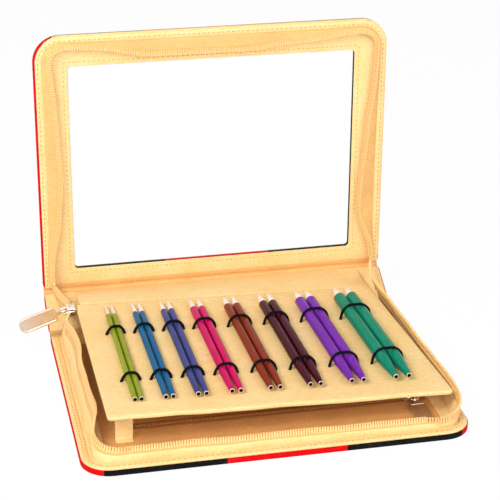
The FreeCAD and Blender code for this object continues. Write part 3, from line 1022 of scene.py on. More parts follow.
class CaseCreases(bpy.types.Operator):
    """Make the cloth that bends at the two folds, outside and inside."""

    bl_idname = "case.creases"
    bl_label = "Creases"

    def execute(self, context):
        width = 2 * (HALF_WIDTH - 0.3)
        bent = 0.8
        reach = COVER_NEAR + 2.6
        end = SPINE_FAR - 2.6
        # Each crease: its name and node, where it starts, its bend, the end of its turn and a straight tail
        creases = (
            ("base_crease_print", "base_crease_fabric", spot(BASE_WAYS, reach, 0.5),
             spot(SPINE_WAYS, 0, 0.5), spot(SPINE_WAYS, reach, 0.5), SPINE_RUN * 1.5),
            ("base_crease_cloth", "base_crease_lining", spot(BASE_WAYS, reach, 3.3),
             spot(SPINE_WAYS, 0.2, 1.6), spot(SPINE_WAYS, reach, 3.3), SPINE_RUN * 1.5),
            ("lid_crease_print", "lid_crease_fabric", spot(SPINE_WAYS, end, 0.5),
             spot(LID_WAYS, -0.9, -0.6), spot(LID_WAYS, reach, 0.5), UP * 1.5),
            ("lid_crease_cloth", "lid_crease_lining", spot(SPINE_WAYS, end, 3.5),
             spot(LID_WAYS, 0.4, 0.1), spot(LID_WAYS, 5.2, 3.3), UP * 3.2),
        )
        for name, node, start, bend, turned, tail in creases:

            def place(across, along):
                share = min(along / bent, 1)
                point = start.lerp(bend, share).lerp(bend.lerp(turned, share), share)
                point += tail * max(0, (along - bent) / (1 - bent))
                sway = ripple(across * 240, (0.12, 61, 0.4), (0.08, 23, 1.1)) * math.sin(math.pi * share)
                return Vector(((across - 0.5) * width, point.y, point.z + sway))

            piece = cloth(name, 60, 10, place, 0.8)
            inside = name.endswith("cloth")
            first, second = ("base", "spine") if name.startswith("base") else ("spine", "lid")
            # The inside crease cloth takes the darker gusset tone: painted shade in the folds.
            material = finish(lining_finish, "gusset") if inside else finish(print_finish, 1)
            dress(
                piece,
                ON_FLOOR,
                (first, second, start * MM, (turned + tail) * MM),
                material,
                slot="lining" if inside else "printed_fabric",
                replaces=(node,),
            )
            run = run_of((start, bend, turned + tail)) + SEAM
            second + "_board"
        return {"FINISHED"}


# Zip walls

# The base's wall in millimetres: its height and slope, how far it leans out, and its sag in front
BASE_WALL_HEIGHT = 17.0
BASE_WALL_FRONT = 169.9
BASE_WALL_SLOPE = 0.0488
RIGHT_LEAN = 11.0
SLIDER_LEAN = 4.2
LEFT_LEAN = 1.3
LEFT_CORNER_LEAN = 6.0
FRONT_CORNER_LEAN = 4.0
FRONT_SAG = 6.5
FRONT_SAG_SLANT = 0.9

# The lid's wall: its height, the share of its fall that lowers it, and its fall at the left corner
LID_WALL_HEIGHT = 7.0
LID_FALL_DROP = 0.11
LEFT_CORNER_FALL = 4.0

# One tooth of the main zip, where it stands on the wall's head, and the band's share of its height
TOOTH_WIDTH = 1.12
TOOTH_DEPTH = 2.1
TOOTH_RISE = 0.1
TOOTH_OUT = 0.45
BAND_SHARE = 0.3

# How far the head of the lid's wall has fallen in along each side, as knots of share and millimetres
LID_FALL = {
    "left": ((0, 0.0), (0.1, 0.2), (0.3, 6.8), (0.5, 8.3), (0.8, 6.5), (1, 4.0)),
    "far": ((0, 0.0), (0.1, 1.5), (0.3, 8.0), (0.6, 8.2), (0.78, 5.5), (0.9, 2.8), (1, 0.5)),
    "right_corner": ((0, 0.5), (1, 0.5)),
    "right": ((0, 0.5), (0.15, 2.0), (0.4, 6.3), (0.62, 9.2), (0.8, 10.4), (0.93, 0.4), (1, 0.0)),
}


def wall_stations(feet, heads):
    """Every station of a wall: index, run of the foot so far, and foot and head with their ways out."""
    passed = 0.0
    for index, (foot, head) in enumerate(zip(feet, heads)):
        if index:
            passed += (foot[0] - feet[index - 1][0]).length
        yield index, passed, *foot, *head


def base_wall_lines():
    """The foot and the head of the base's soft wall: low in front, upright on the right."""
    foot_line = []
    head_line = []
    feet = wall_track(inset=7.6, radius=10.4, near=6.0)
    heads = wall_track(inset=14.1, radius=15.0, near=6.0)
    for index, passed, foot, foot_out, head, head_out in wall_stations(feet, heads):
        calm = calm_at_ends(index, 0.16)
        foot_sway = ripple(passed, (0.45, 57, 0.3), (0.3, 31, 1.9)) * calm
        head_sway = ripple(passed, (0.7, 83, 0.9), (0.35, 41, 2.2)) * calm
        head_sway *= 1.0 if head_out.x < 0 else 0.4
        to_left = max(0.0, -head_out.x)
        to_right = max(0.0, head_out.x)
        to_front = max(0.0, head_out.y)
        corner = ease(140, 168, head.y)
        by_slider = math.exp(-(((head.y - 27) / 10) ** 2))
        slack = SLIDER_LEAN * by_slider + LEFT_LEAN * ease(20, 50, head.y) * (1 - corner)
        lean = RIGHT_LEAN * max(0.0, head.y - 10) / 155 * to_right
        lean += (slack + LEFT_CORNER_LEAN * corner) * to_left + FRONT_CORNER_LEAN * corner * to_front
        sag = (FRONT_SAG + FRONT_SAG_SLANT * head.x / 106) * ease(147, 170, head.y)
        rise = BASE_WALL_HEIGHT + (BASE_WALL_FRONT - head.y) * BASE_WALL_SLOPE - sag
        rise += ripple(passed, (0.2, 66, 0.2)) * calm
        foot_line.append(foot + foot_out * foot_sway + UP * COVER_THICK)
        head_line.append(head + head_out * (head_sway + lean) + UP * rise)
    return foot_line, head_line


def lid_fall(index):
    """How far the head of the lid's wall has fallen in at a station."""
    side, step, count = station_side(min(max(index, 0), STATIONS))
    share = step / count
    if side == "left_corner":
        return LEFT_CORNER_FALL * (1 - share)
    return between(LID_FALL[side], share)


def lid_wall_lines():
    """The foot and the head of the lid's soft wall, fallen in between the corners."""
    reach = range(-5, 6)
    foot_line = []
    head_line = []
    feet = wall_track(inset=5.8, radius=12.2, near=10.0)
    heads = wall_track(inset=6.6, radius=13.0, near=10.0)
    for index, passed, foot, foot_out, head, head_out in wall_stations(feet, heads):
        fallen = sum(lid_fall(index + step) for step in reach) / len(reach)
        sway = ripple(passed, (0.25, 71, 0.5), (0.15, 37, 1.3)) * calm_at_ends(index, 0.3)
        foot_line.append(foot + foot_out * 0.3 * sway + UP * COVER_THICK)
        rise = LID_WALL_HEIGHT - LID_FALL_DROP * fallen
        head_line.append(head - head_out * (fallen + sway) + UP * rise)
    return foot_line, head_line


def wall_cloth(name, feet, heads, low, high, bulge, thickness, rows):
    """A strip of the wall between two shares of its height."""

    def place(across, upward):
        position = across * STATIONS
        share = low + (high - low) * upward
        swell = bulge * math.sin(math.pi * min(max(share, 0), 1))
        return at(feet, position).lerp(at(heads, position), share) - inward_at(heads, position) * swell

    return cloth(name, STATIONS, rows, place, thickness)


def tooth_pattern(width, depth, height):
    """One zip tooth: a bar with full ends and a pressed middle."""
    pattern = begin("tooth", "cube", size=1)
    with editing(pattern):
        resize(width, depth, height)
        pick(pattern, "EDGE", lambda edge: abs(edge.verts[0].co.z - edge.verts[1].co.z) > height / 2)
        bpy.ops.mesh.subdivide(number_cuts=2)
        pick(pattern, "VERT", lambda vertex: abs(vertex.co.z) < height / 4)
        resize(0.9, 0.6, 1.35)
        pick(pattern, "EDGE", lambda edge: min(abs(vertex.co.z) for vertex in edge.verts) > height * 0.45)
        bpy.ops.mesh.bevel(offset=width * 0.3, segments=1)
    return pattern


def main_tooth(share=1.0):
    """A tooth of the main zip, at a share of its full height."""
    return tooth_pattern(TOOTH_WIDTH, TOOTH_DEPTH, sizes().tooth_height * share / MM)


def zip_line(name, feet, heads, tooth, lay, matrix, body, node):
    """The teeth and the sewn band along the head of a wall; lay is how far they lie down inwards."""

    def leaning(head, foot, inward, along_tooth):
        rise = ((head - foot).normalized() * (1 - lay) + inward * lay).normalized()
        return head + rise * (TOOTH_RISE + along_tooth) - inward * TOOTH_OUT * (1 - lay), rise

    def band(across, upward):
        position = across * STATIONS
        height = (upward - 0.5) * BAND_SHARE * sizes().tooth_height * tooth / MM
        return leaning(at(heads, position), at(feet, position), inward_at(heads, position), height)[0]

    marks = []
    for head, along, index, share in evenly(heads, sizes().tooth_pitch / MM):
        foot = feet[index].lerp(feet[index + 1], share)
        point, rise = leaning(head, foot, along.cross(UP).normalized(), 0)
        marks.append(stand(point, along, rise))
    teeth = repeat(name, main_tooth(tooth), marks)
    count = len(teeth.data.polygons)
    joined(teeth, cloth("band", STATIONS, 3, band, 1.1))
    # The band's darker finish is painted shade between the teeth.
    finishes = (finish(teeth_finish, "teeth"), finish(teeth_finish, "band"))
    dress(teeth, matrix, body, *finishes, slot="zip_coil", replaces=(node,))
    for face in teeth.data.polygons:
        face.material_index = int(face.index >= count)


def wall(body, lines, matrix, tone, tape_low, gusset_low, gusset_high, bulge, tooth, lay):
    """A whole soft wall: gusset, tape and teeth."""
    feet, heads = lines
    run = run_of(heads) * MM
    tall = sum((b - a).length for a, b in zip(feet, heads)) / len(feet) * MM
    gusset = wall_cloth(body + "_wall_cloth", feet, heads, gusset_low, gusset_high, bulge, 1.1, 8)
    tape = wall_cloth(body + "_tape_cloth", feet, heads, tape_low, 1.0, bulge, 0.7, 6)
    soft = finish(lining_finish, tone)
    woven = finish(woven_finish, "tape", 420, 5)
    for piece, share, material, slot, node in (
        (gusset, gusset_high - gusset_low, soft, "lining", "_gusset"),
        (tape, 1 - tape_low, woven, "zip_tape", "_zip_tape"),
    ):
        dress(piece, matrix, body, material, slot=slot, replaces=(body + node,))
        flat = (run, max(tall * share, LEAST_SIDE))
    zip_line(body + "_zip_teeth", feet, heads, tooth, lay, matrix, body, body + "_zip_coil")


class CaseBaseWall(bpy.types.Operator):
    """Make the soft zip wall of the base."""

    bl_idname = "case.base_wall"
    bl_label = "Base zip wall"

    def execute(self, context):
        shape = {"tape_low": 0.15, "gusset_low": -0.02, "gusset_high": 0.66, "bulge": 0.7}
        wall("base", base_wall_lines(), ON_BASE, "lining", **shape, tooth=1.0, lay=0.0)
        return {"FINISHED"}


class CaseLidWall(bpy.types.Operator):
    """Make the soft zip wall of the lid."""

    bl_idname = "case.lid_wall"
    bl_label = "Lid zip wall"

    def execute(self, context):
        shape = {"tape_low": -0.3, "gusset_low": -0.35, "gusset_high": 0.92, "bulge": 2.0}
        # The lid's wall takes the darker gusset tone where the base's wall takes the lining: painted shade.
        wall("lid", lid_wall_lines(), ON_LID, "gusset", **shape, tooth=0.95, lay=0.7)
        return {"FINISHED"}


class CaseZipBridges(bpy.types.Operator):
    """Make the loose stretch of zip at each back corner, in two lengths that meet at the spine."""

    bl_idname = "case.zip_bridges"
    bl_label = "Zip bridges"

    def execute(self, context):
        base_feet, base_heads = base_wall_lines()
        lid_feet, lid_heads = lid_wall_lines()
        low_out = Vector((0, 1, 0.05)) * 0.022
        high_out = Vector((0, 0.1, 1)) * 0.02
        steps = [step / 40 for step in range(41)]
        for side, index in (("left", 0), ("right", -1)):
            low = ON_BASE @ base_heads[index]
            low_up = (low - ON_BASE @ base_feet[index]).normalized()
            high = ON_LID @ lid_heads[index]
            high_up = (high - ON_LID @ lid_feet[index]).normalized()

            def along(share):
                """A point of the curve from the base's zip to the lid's, and the way up there."""
                from_low = 2 * share**3 - 3 * share**2 + 1
                leave = share**3 - 2 * share**2 + share
                to_high = -2 * share**3 + 3 * share**2
                arrive = share**3 - share**2
                point = low * from_low + low_out * leave + high * to_high + high_out * arrive
                return point, low_up.lerp(high_up, ease(0, 1, share)).normalized()

            # The two lengths meet halfway along the curve. Each is passed the two covers it spans and two
            # points along them, which dress does not use.
            middle, rise = along(0.5)
            way = along(0.51)[0] - along(0.49)[0]
            way = (way - rise * way.dot(rise)).normalized()
            edges = (-BRIDGE_FOOT * BRIDGE_WIDTH, (1 - BRIDGE_FOOT) * BRIDGE_WIDTH)
            after = min((high + high_up * edge - middle).dot(way) for edge in edges)
            halves = (
                ("low", 0.0, ("base", "spine", low, low - FORWARD * BRIDGE_TURN)),
                ("high", 0.5, ("spine", "lid", middle, middle + way * after)),
            )
            for half, start, bodies in halves:

                def place(across, upward):
                    share = start + 0.5 * across
                    point, rise = along(share)
                    foot = BRIDGE_FOOT - BRIDGE_TUCK * ease(0.7, 1, share)
                    return (point + rise * (upward - foot) * BRIDGE_WIDTH) / MM

                name = side + "_bridge_" + half
                tape = cloth(name + "_tape", 20, 5, place, 0.8)
                nodes = (side + "_zip_bridge",) if half == "low" else ()
                woven = finish(woven_finish, "tape", 30, 5)
                dress(tape, ON_FLOOR, bodies, woven, slot="zip_tape", replaces=nodes)
                run = run_of([place(step, 0.5) for step in steps]) * MM
                name + "_teeth"
                line = [along(start + 0.5 * step) for step in steps]
                points = [point / MM for point, _ in line]
                places = evenly(points, sizes().tooth_pitch / MM)
                marks = [stand(point, onward, line[step][1]) for point, onward, step, _ in places]
                teeth = repeat(name + "_teeth", main_tooth(), marks)
                dress(teeth, ON_FLOOR, bodies, finish(teeth_finish, "teeth"), slot="zip_coil")
        return {"FINISHED"}


# Panel and needles


class CasePanel(bpy.types.Operator):
    """Make the covered panel and the strip of cloth that hinges it."""

    bl_idname = "case.panel"
    bl_label = "Needle panel"

    def execute(self, context):
        width = 2 * PANEL_HALF
        depth = PANEL_BACK - PANEL_FRONT
        golden = finish(lining_finish, "lining")

        def at_corner(edge):
            first, second = (vertex.co for vertex in edge.verts)
            to_end = min(abs(first.y - PANEL_FRONT), abs(first.y - PANEL_BACK))
            return abs(first.z - second.z) > 1 and abs(abs(first.x) - PANEL_HALF) < 0.1 and to_end < 0.1

        piece = begin("panel_cloth", "grid", x_subdivisions=52, y_subdivisions=40, size=1)
        with editing(piece):
            resize(width, depth, 1)
            shift(0, (PANEL_FRONT + PANEL_BACK) / 2, PANEL_TOP)
            extrude(PANEL_LOW - PANEL_TOP)
            face_out()
            pick(piece, "EDGE", at_corner)
            bpy.ops.mesh.bevel(offset=2.6, segments=4)
        soft_edges(piece, 1.0)
        # The cloth ripples at the front, and spreads past the board on the right, most in front
        for vertex in piece.data.vertices:
            x, y, _ = vertex.co
            to_front = (PANEL_BACK - y) / depth
            overhang = OVERHANG_BACK + (OVERHANG_FRONT - OVERHANG_BACK) * to_front
            front = ease(PANEL_FRONT + 26, PANEL_FRONT, y)
            vertex.co.z += ripple(x, (0.16, 74, 0.6), (0.07, 29, 2.0)) * front
            vertex.co.z += ripple(y, (0.08, 57, 0.2)) * ripple(x, (1.0, 93, 0.7))
            vertex.co.y += ripple(x, (0.25, 88, 1.2), (0.12, 33, 0.2)) * front
            vertex.co.x += overhang * ease(84, PANEL_HALF, x)
        dress(piece, ON_FLOOR @ ON_PANEL, "panel", golden, slot="lining", replaces=("panel_cover",))

        start = Vector((0, PANEL_BACK - 0.6, PANEL_TOP - 0.5))
        end = spot(SPINE_WAYS, SPINE_FAR - TURN_IN, COVER_THICK + 0.4)
        crest = Vector((0, 106, 26.0))
        strip_width = 2 * (PANEL_HALF - PANEL_HEM)

        def place(across, along):
            x = (across - 0.5) * strip_width + 4.5 * ease(0.75, 1, across)
            edge = ON_PANEL @ Vector((x, start.y, start.z))
            rise = crest + UP * (edge.z - start.z) * 0.8
            point = edge.lerp(rise, along).lerp(rise.lerp(end, along), along)
            sway = ripple(across * 200, (0.35, 83, 0.7), (0.2, 37, 1.9)) - 3.0 * ease(0.86, 1, across)
            return Vector((x, point.y, point.z + sway * math.sin(math.pi * along)))

        strip = cloth("panel_hinge_cloth", 60, 14, place, 0.8)
        bodies = ("base", "spine", *(start.lerp(end, share) * MM for share in STRIP_BEND))
        dress(strip, ON_FLOOR, bodies, golden, slot="lining", replaces=("panel_hinge_strip",))
        return {"FINISHED"}


def needle_stations(size):
    """Distance from the point and radius along a needle: point, step, shaft, taper, socket."""
    radius = size / 2
    neck = radius - 0.15
    end = min(neck, 1.7)
    taper = NEEDLE_LENGTH - NEEDLE_TAPER
    stations = [(0.0, 0.12), (0.25, 0.34)]
    for share in (step / 8 for step in range(1, 9)):
        stations.append((NEEDLE_POINT * share, 0.5 + (neck - 0.5) * (1 - (1 - share) ** 1.75)))
    stations += [(NEEDLE_POINT + 0.05, radius - 0.04), (NEEDLE_POINT + 0.3, radius)]
    stations += [(40.0, radius), (70.0, radius), (taper - 0.4, radius)]
    for share in (step / 5 for step in range(1, 6)):
        stations.append((taper + 24.7 * share, radius + (end - radius) * share**1.15))
    stations += [(NEEDLE_LENGTH, end - 0.15), (NEEDLE_LENGTH, SOCKET_RADIUS + 0.06)]
    stations += [(NEEDLE_LENGTH - 0.4, SOCKET_RADIUS), (NEEDLE_LENGTH - 9.0, SOCKET_RADIUS)]
    return stations


def face_finish(centre):
    """Which finish a needle's face has: 0 shaft, 1 point, 2 socket in painted shade."""
    back = -centre.y
    if math.hypot(centre.x, centre.z) < SOCKET_RADIUS + 0.04 and back > NEEDLE_LENGTH - 10:
        return 2
    return 1 if back < NEEDLE_POINT + 0.02 or back > NEEDLE_LENGTH - 0.2 else 0


def pairs():
    """Each pair of needles: its number, size and matrix."""
    for number, (size, middle) in enumerate(zip(NEEDLE_SIZES, NEEDLE_MIDDLES), 1):
        yield number, size, ON_FLOOR @ pair_frame(number, middle)


class CaseNeedles(bpy.types.Operator):
    """Turn every needle: bright point, coloured shaft, tapered and drilled end."""

    bl_idname = "case.needles"
    bl_label = "Needles"

    def execute(self, context):
        for number, size, matrix in pairs():
            stations = needle_stations(size)
            finishes = (
                finish(needle_finish, f"needle_{number}"),
                finish(metal_finish, "point", 0.24, 0.36, 500),
                finish(socket_shade_finish),
            )
            slot = "needle_" + NEEDLE_SLOTS[number - 1]
            for side, word in ((-1, "left"), (1, "right")):
                node = f"needle_{number}_{word}"
                tip = stations[0][1]
                piece = begin("turned_" + node, "circle", vertices=28, radius=tip, fill_type="NGON")
                with editing(piece):
                    for (before, old), (after, new) in zip(stations, stations[1:]):
                        extrude(before - after)
                        resize(new / old, new / old, 1)
                    face_out()
                piece.data.transform(turn("X", -90))
                smooth(piece, 35)
                marks = [face_finish(face.center) for face in piece.data.polygons]
                beside = Matrix.Translation((side * (size + 0.5) / 2, 0, NEEDLE_LIFT + size / 2))
                dress(piece, matrix @ beside, node, *finishes, slot=slot, replaces=(node,))
                for face, mark in zip(piece.data.polygons, marks):
                    face.material_index = mark
        return {"FINISHED"}


def elastic_loop(name, points, thick):
    """A round elastic along a smooth line."""
    curve = bpy.data.curves.new("loop", "CURVE")
    curve.dimensions = "3D"
    curve.bevel_depth = thick
    curve.bevel_resolution = 3
    curve.use_fill_caps = True
    spline = curve.splines.new("NURBS")
    spline.points.add(len(points) - 1)
    for knot, point in zip(spline.points, points):
        knot.co = (*point, 1)
    spline.order_u = 3
    spline.use_endpoint_u = True
    spline.resolution_u = 5
    loop = bpy.data.objects.new(name, curve)
    bpy.context.collection.objects.link(loop)
    grab(loop)
    bpy.ops.object.convert(target="MESH")
    return bpy.context.active_object


class CaseLoops(bpy.types.Operator):
    """Bend the black elastic over each pair of needles."""

    bl_idname = "case.loops"
    bl_label = "Elastic loops"

    def execute(self, context):
        thick = sizes().elastic_width / MM / 2
        for number, size, matrix in pairs():
            radius = size / 2
            top = NEEDLE_LIFT + size + thick + 0.1
            half = radius + 0.25
            wide = 2 * radius + 0.25 + thick + 0.15
            loops = []
            for row, from_tip in enumerate(LOOP_FROM_TIP):
                y = -from_tip
                points = (
                    (-wide - 1.7, y - 2.0, -0.4),
                    (-wide - 0.9, y - 1.0, radius * 0.55),
                    (-wide + 0.35, y - 0.1, radius * 1.45),
                    (-half - 0.3, y + 0.5, top - 0.05),
                    (0, y + 0.6, top - 0.25),
                    (half + 0.3, y + 0.5, top - 0.05),
                    (wide - 0.35, y, radius * 1.45),
                    (wide + 0.5, y - 0.7, radius * 0.55),
                    (wide + 0.8, y - 1.2, -0.4),
                )
                loops.append(elastic_loop(f"elastic_pair_{number}_{row}", points, thick))
            piece = joined(*loops)
            piece.name = f"elastic_pair_{number}"
            with editing(piece):
                face_out()
            smooth(piece, 50)
            nodes = (f"elastic_loops_{number}",)
            dress(piece, matrix, "panel", finish(elastic_finish), slot="black_elastic", replaces=nodes)
        return {"FINISHED"}


# Floor of the base


class CasePocket(bpy.types.Operator):
    """Make the pocket on the floor of the base, with its zip, and the tab under the panel."""

    bl_idname = "case.pocket"
    bl_label = "Floor pocket"

    def execute(self, context):
        def floor_place(across, along):
            x = (across - 0.5) * POCKET_WIDTH
            y = (along - 0.5) * POCKET_DEPTH
            near = math.exp(-(((y - POCKET_ZIP_Y) / 9) ** 2))
            swell = (ripple(x, (0.25, 63, 0.3), (0.14, 27, 1.4)) + 0.5) * near
            sewn = ease(0, 0.04, across) * ease(0, 0.04, 1 - across)
            sewn *= ease(0, 0.05, along) * ease(0, 0.05, 1 - along)
            return Vector((x, y, POCKET_HEIGHT + swell * sewn))

        def tape_place(across, along):
            x = POCKET_ZIP_LEFT - 3 + (POCKET_ZIP_RIGHT - POCKET_ZIP_LEFT + 6) * across
            y = POCKET_ZIP_Y + (along - 0.5) * POCKET_TAPE_WIDTH
            return Vector((x, y, POCKET_TAPE_HEIGHT + 0.15 * math.cos(math.pi * (along - 0.5))))

        def tab_place(across, along):
            x = TAB_X + (across - 0.5) * TAB_WIDTH + 0.4 * math.sin(3 * along)
            y = TAB_Y - 4.5 * (1 - ease(0.0, 0.16, along)) + 0.5 * math.sin(math.pi * along)
            return Vector((x, y, TAB_LOW + TAB_HEIGHT * max(0, (along - 0.12) / 0.88)))

        sheet = cloth("pocket_cloth", 70, 50, floor_place, 0.7)
        # The pocket cloth takes the darker floor tone: painted shade under the panel.
        brown = finish(lining_finish, "floor")
        dress(sheet, ON_FLOOR, "base", brown, slot="lining", replaces=("floor_pocket",))
        tape = cloth("pocket_tape_cloth", 90, 6, tape_place, 0.5)
        # The darker pocket tape is painted shade along the pocket zip.
        woven = finish(woven_finish, "pocket_tape", 150, 6)
        dress(tape, ON_FLOOR, "base", woven, slot="zip_tape", replaces=("pocket_zip_tape",))
        ends = (POCKET_ZIP_LEFT, POCKET_ZIP_RIGHT)
        points = [Vector((x, POCKET_ZIP_Y, POCKET_TEETH_HEIGHT)) for x in ends]
        places = evenly(points, sizes().pocket_tooth_pitch / MM)
        marks = [stand(point, along, -FORWARD) for point, along, _, _ in places]
        teeth = repeat("pocket_zip_teeth", tooth_pattern(1.1, 1.3, 2.4), marks)
        # The darker pocket teeth are painted shade along the pocket zip.
        nylon = finish(teeth_finish, "pocket_teeth")
        dress(teeth, ON_FLOOR, "base", nylon, slot="zip_coil", replaces=("pocket_zip_coil",))
        tab = cloth("stay_tab_cloth", 10, 24, tab_place, 1.1)
        golden = finish(lining_finish, "lining")
        dress(tab, ON_FLOOR, "base", golden, slot="lining", replaces=("panel_stay_tab",))
        return {"FINISHED"}


# Sliders and pulls

SHELL_SIDE = 1.0
SHELL_TOP = 1.4
SHELL_LENGTH = 9.6
PIN_OUT = 2.6
PULL_WIDTH = 11.0


def block(name, place, size, edge, segments, widened=None):
    """A small block with soft edges, its end towards -Y widened by a factor if one is given."""
    piece = begin(name, "cube", size=1, location=place)
    with editing(piece):
        resize(*size)
        if widened:
            pick(piece, "FACE", lambda face: face.normal.y < -0.9)
            resize(widened, 1, 1)
    soft_edges(piece, edge, segments)
    set_in(piece, Matrix())
    return piece


def lay_across():
    """Turn the piece in edit mode from upright to lying along X."""
    bpy.ops.transform.rotate(value=math.radians(90), orient_axis="Y", center_override=(0, 0, 0))


def pull_paddle(name, long):
    """A rounded paddle with a raised rim and an eye, lying along -Y from its pin."""
    half = PULL_WIDTH / 2
    outline = {"low": -long, "high": -5.0, "low_radius": half - 0.4, "high_radius": 2.0}
    paddle = plate(name, half, **outline, bottom=-0.8, top=0.8, segments=12)
    with editing(paddle):
        pick(paddle, "FACE", lambda face: abs(face.normal.z) > 0.9)
        bpy.ops.mesh.inset(thickness=1.1, depth=0, use_individual=True)
        bpy.ops.mesh.inset(thickness=0.35, depth=-0.35, use_individual=True)
    soft_edges(paddle, 0.22)
    ring = {"major_radius": 1.55, "minor_radius": 0.6, "major_segments": 28, "minor_segments": 12}
    eye = begin("eye", "torus", **ring)
    with editing(eye):
        lay_across()
        resize(2.0, 1, 1)
    smooth(eye, 60)
    neck = block("neck", (0, -3.6, 0), (2.4, 4.4, 1.3), edge=0.35, segments=2, widened=1.9)
    return joined(paddle, eye, neck)


def slider_shell(name, channel, low, high):
    """A slider's domed body over its channel, drawn along Y."""
    top = high + SHELL_TOP
    body = begin(name, "cube", size=1)

    def at_end(edge):
        far = max(abs(vertex.co.y) for vertex in edge.verts) > 4.7
        return far and min(vertex.co.z for vertex in edge.verts) > low + 0.2

    with editing(body):
        resize(channel + 2 * SHELL_SIDE, SHELL_LENGTH, top - low)
        shift(0, 0, (top + low) / 2)
        pick(body, "FACE", lambda face: face.normal.z < -0.9)
        bpy.ops.mesh.inset(thickness=0.9, depth=0)
        resize(1, 1.3, 1)
        extrude(high - low)
        pick(body, "FACE", lambda face: face.normal.z > 0.9 and face.calc_center_median().z > top - 0.1)
        bpy.ops.mesh.inset(thickness=0.8, depth=0.5)
        pick(body, "EDGE", at_end)
        bpy.ops.mesh.bevel(offset=0.9, segments=3)
    soft_edges(body, 0.3, 2)
    return body


def lugs_and_pin():
    """The two lugs and the pin that carry a pull."""
    pin = begin("pin", "cylinder", vertices=20, radius=0.8, depth=4.6)
    with editing(pin):
        lay_across()
        pick(pin, "FACE", lambda face: abs(face.normal.x) > 0.9)
        bpy.ops.mesh.inset(thickness=0.25, depth=0.2, use_individual=True)
    smooth(pin)
    lugs = [block("lug", (x, 0.95, 0), (1.0, 4.3, 2.4), edge=0.4, segments=3) for x in (-2.0, 2.0)]
    return joined(pin, *lugs)


def zip_slider(shell, bodies, seat, hang, swing, matrix, pull, long):
    """One slider with its lugs, and the pull that hangs on its pin."""
    slider_body, pull_body = bodies
    bright = finish(metal_finish, "slider", 0.16, 0.3, 900)
    satin = finish(metal_finish, "pull", 0.34, 0.46, 1400)
    shell.data.transform(seat)
    bracket = lugs_and_pin()
    bracket.data.transform(hang)
    slider = joined(shell, bracket)
    dress(slider, matrix, slider_body, bright, slot="slider_metal", replaces=(slider_body,))
    paddle = pull_paddle(pull, long)
    paddle.data.transform(hang @ swing)
    dress(paddle, matrix, pull_body, satin, slot="pull_metal", replaces=(pull_body,))


class CaseSliders(bpy.types.Operator):
    """Cast the two zip sliders and their pulls."""

    bl_idname = "case.sliders"
    bl_label = "Sliders and pulls"

    def execute(self, context):
        # The main slider rides on the left wall, which rises to the back, and its pull droops outside
        x, y = -105.9, 83.0
        channel, low, high = 3.3, 15.8, 19.75
        droop = 16
        out = PIN_OUT * math.cos(math.radians(droop))
        down = PIN_OUT * math.sin(math.radians(droop))
        pin = Vector((x - channel / 2 - SHELL_SIDE - out, y, (low + high + SHELL_TOP) / 2 - down))
        hang = Matrix.Translation(pin) @ turn("Z", 6) @ turn("Y", -droop) @ turn("X", -90) @ turn("Z", -90)
        shell = slider_shell("main_slider", channel, low, high)
        seat = Matrix.Translation((x, y, 0))
        tilt = ON_FLOOR @ about(Vector((0, -75.9, 17.0)), turn("X", 2.794))
        zip_slider(shell, ("zip_slider", "zip_pull"), seat, hang, Matrix(), tilt, "main_pull", 31)
        # The pocket's slider lies at the right end of its zip, with the pull towards the front
        x, y = 93.0, POCKET_ZIP_Y
        channel, low, high = 3.1, 5.05, 6.45
        shell = slider_shell("pocket_slider_body", channel, low, high)
        seat = Matrix.Translation((x, y, 0)) @ turn("Z", 90)
        hang = Matrix.Translation((x, y - channel / 2 - SHELL_SIDE - PIN_OUT, POCKET_PIN_HEIGHT))
        bodies = ("pocket_slider", "pocket_pull")
        zip_slider(shell, bodies, seat, hang, turn("X", 3), ON_FLOOR, "pocket_pull_tag", 25)
        return {"FINISHED"}


class CaseHidden(bpy.types.Operator):
    """Give the boards and the clear pane their finishes."""

    bl_idname = "case.hidden"
    bl_label = "Boards and pane"

    def execute(self, context):
        makers = {body + "_board": board_finish for body in ("base", "spine", "lid", "panel")}
        makers["window_pane"] = pane_finish
        for name, maker in makers.items():
            node = frame["nodes"][name]
            node.data.materials.clear()
            node.data.materials.append(finish(maker))
        return {"FINISHED"}


# Stage

FLOOR_DROP = -0.0004
FLOOR_GLOW = 0.95
LIGHTS = (
    ("key_light", (-1.0, -0.65, 1.25), (0, 0.02, 0.05), 0.7, 19.5),
    ("fill_light", (0.9, -1.1, 0.7), (0, 0.03, 0.08), 1.0, 8),
    ("front_light", (-0.25, -1.5, 0.75), (0, 0.03, 0.06), 0.8, 11),
)
CAMERA_PLACE = (-0.2088, -0.9302, 0.5206)
CAMERA_AZIMUTH = -12.54
CAMERA_ELEVATION = 24.0
CAMERA_ROLL = 0.4
SENSOR = 36
FOCAL_PIXELS = 1682
PICTURE_PIXELS = 500


def two_looks(owner, output_kind, lit, seen, share=1.0):
    """Show one shader to the camera and in reflections, and light the case by another."""
    owner.use_nodes = True
    tree = owner.node_tree
    tree.nodes.clear()
    mix = tree.nodes.new("ShaderNodeMixShader")
    path = tree.nodes.new("ShaderNodeLightPath")
    factor = path.outputs["Is Camera Ray"]
    for name in ("Is Glossy Ray", "Is Transmission Ray"):
        most = tree.nodes.new("ShaderNodeMath")
        most.operation = "MAXIMUM"
        tree.links.new(factor, most.inputs[0])
        tree.links.new(path.outputs[name], most.inputs[1])
        factor = most.outputs[0]
    part = tree.nodes.new("ShaderNodeMath")
    part.operation = "MULTIPLY"
    part.inputs[1].default_value = share
    tree.links.new(factor, part.inputs[0])
    tree.links.new(part.outputs[0], mix.inputs[0])
    for index, (kind, values) in enumerate((lit, seen), 1):
        shader = tree.nodes.new(kind)
        for key, value in values.items():
            shader.inputs[key].default_value = value
        tree.links.new(shader.outputs[0], mix.inputs[index])
    output = tree.nodes.new(output_kind)
    tree.links.new(mix.outputs[0], output.inputs["Surface"])


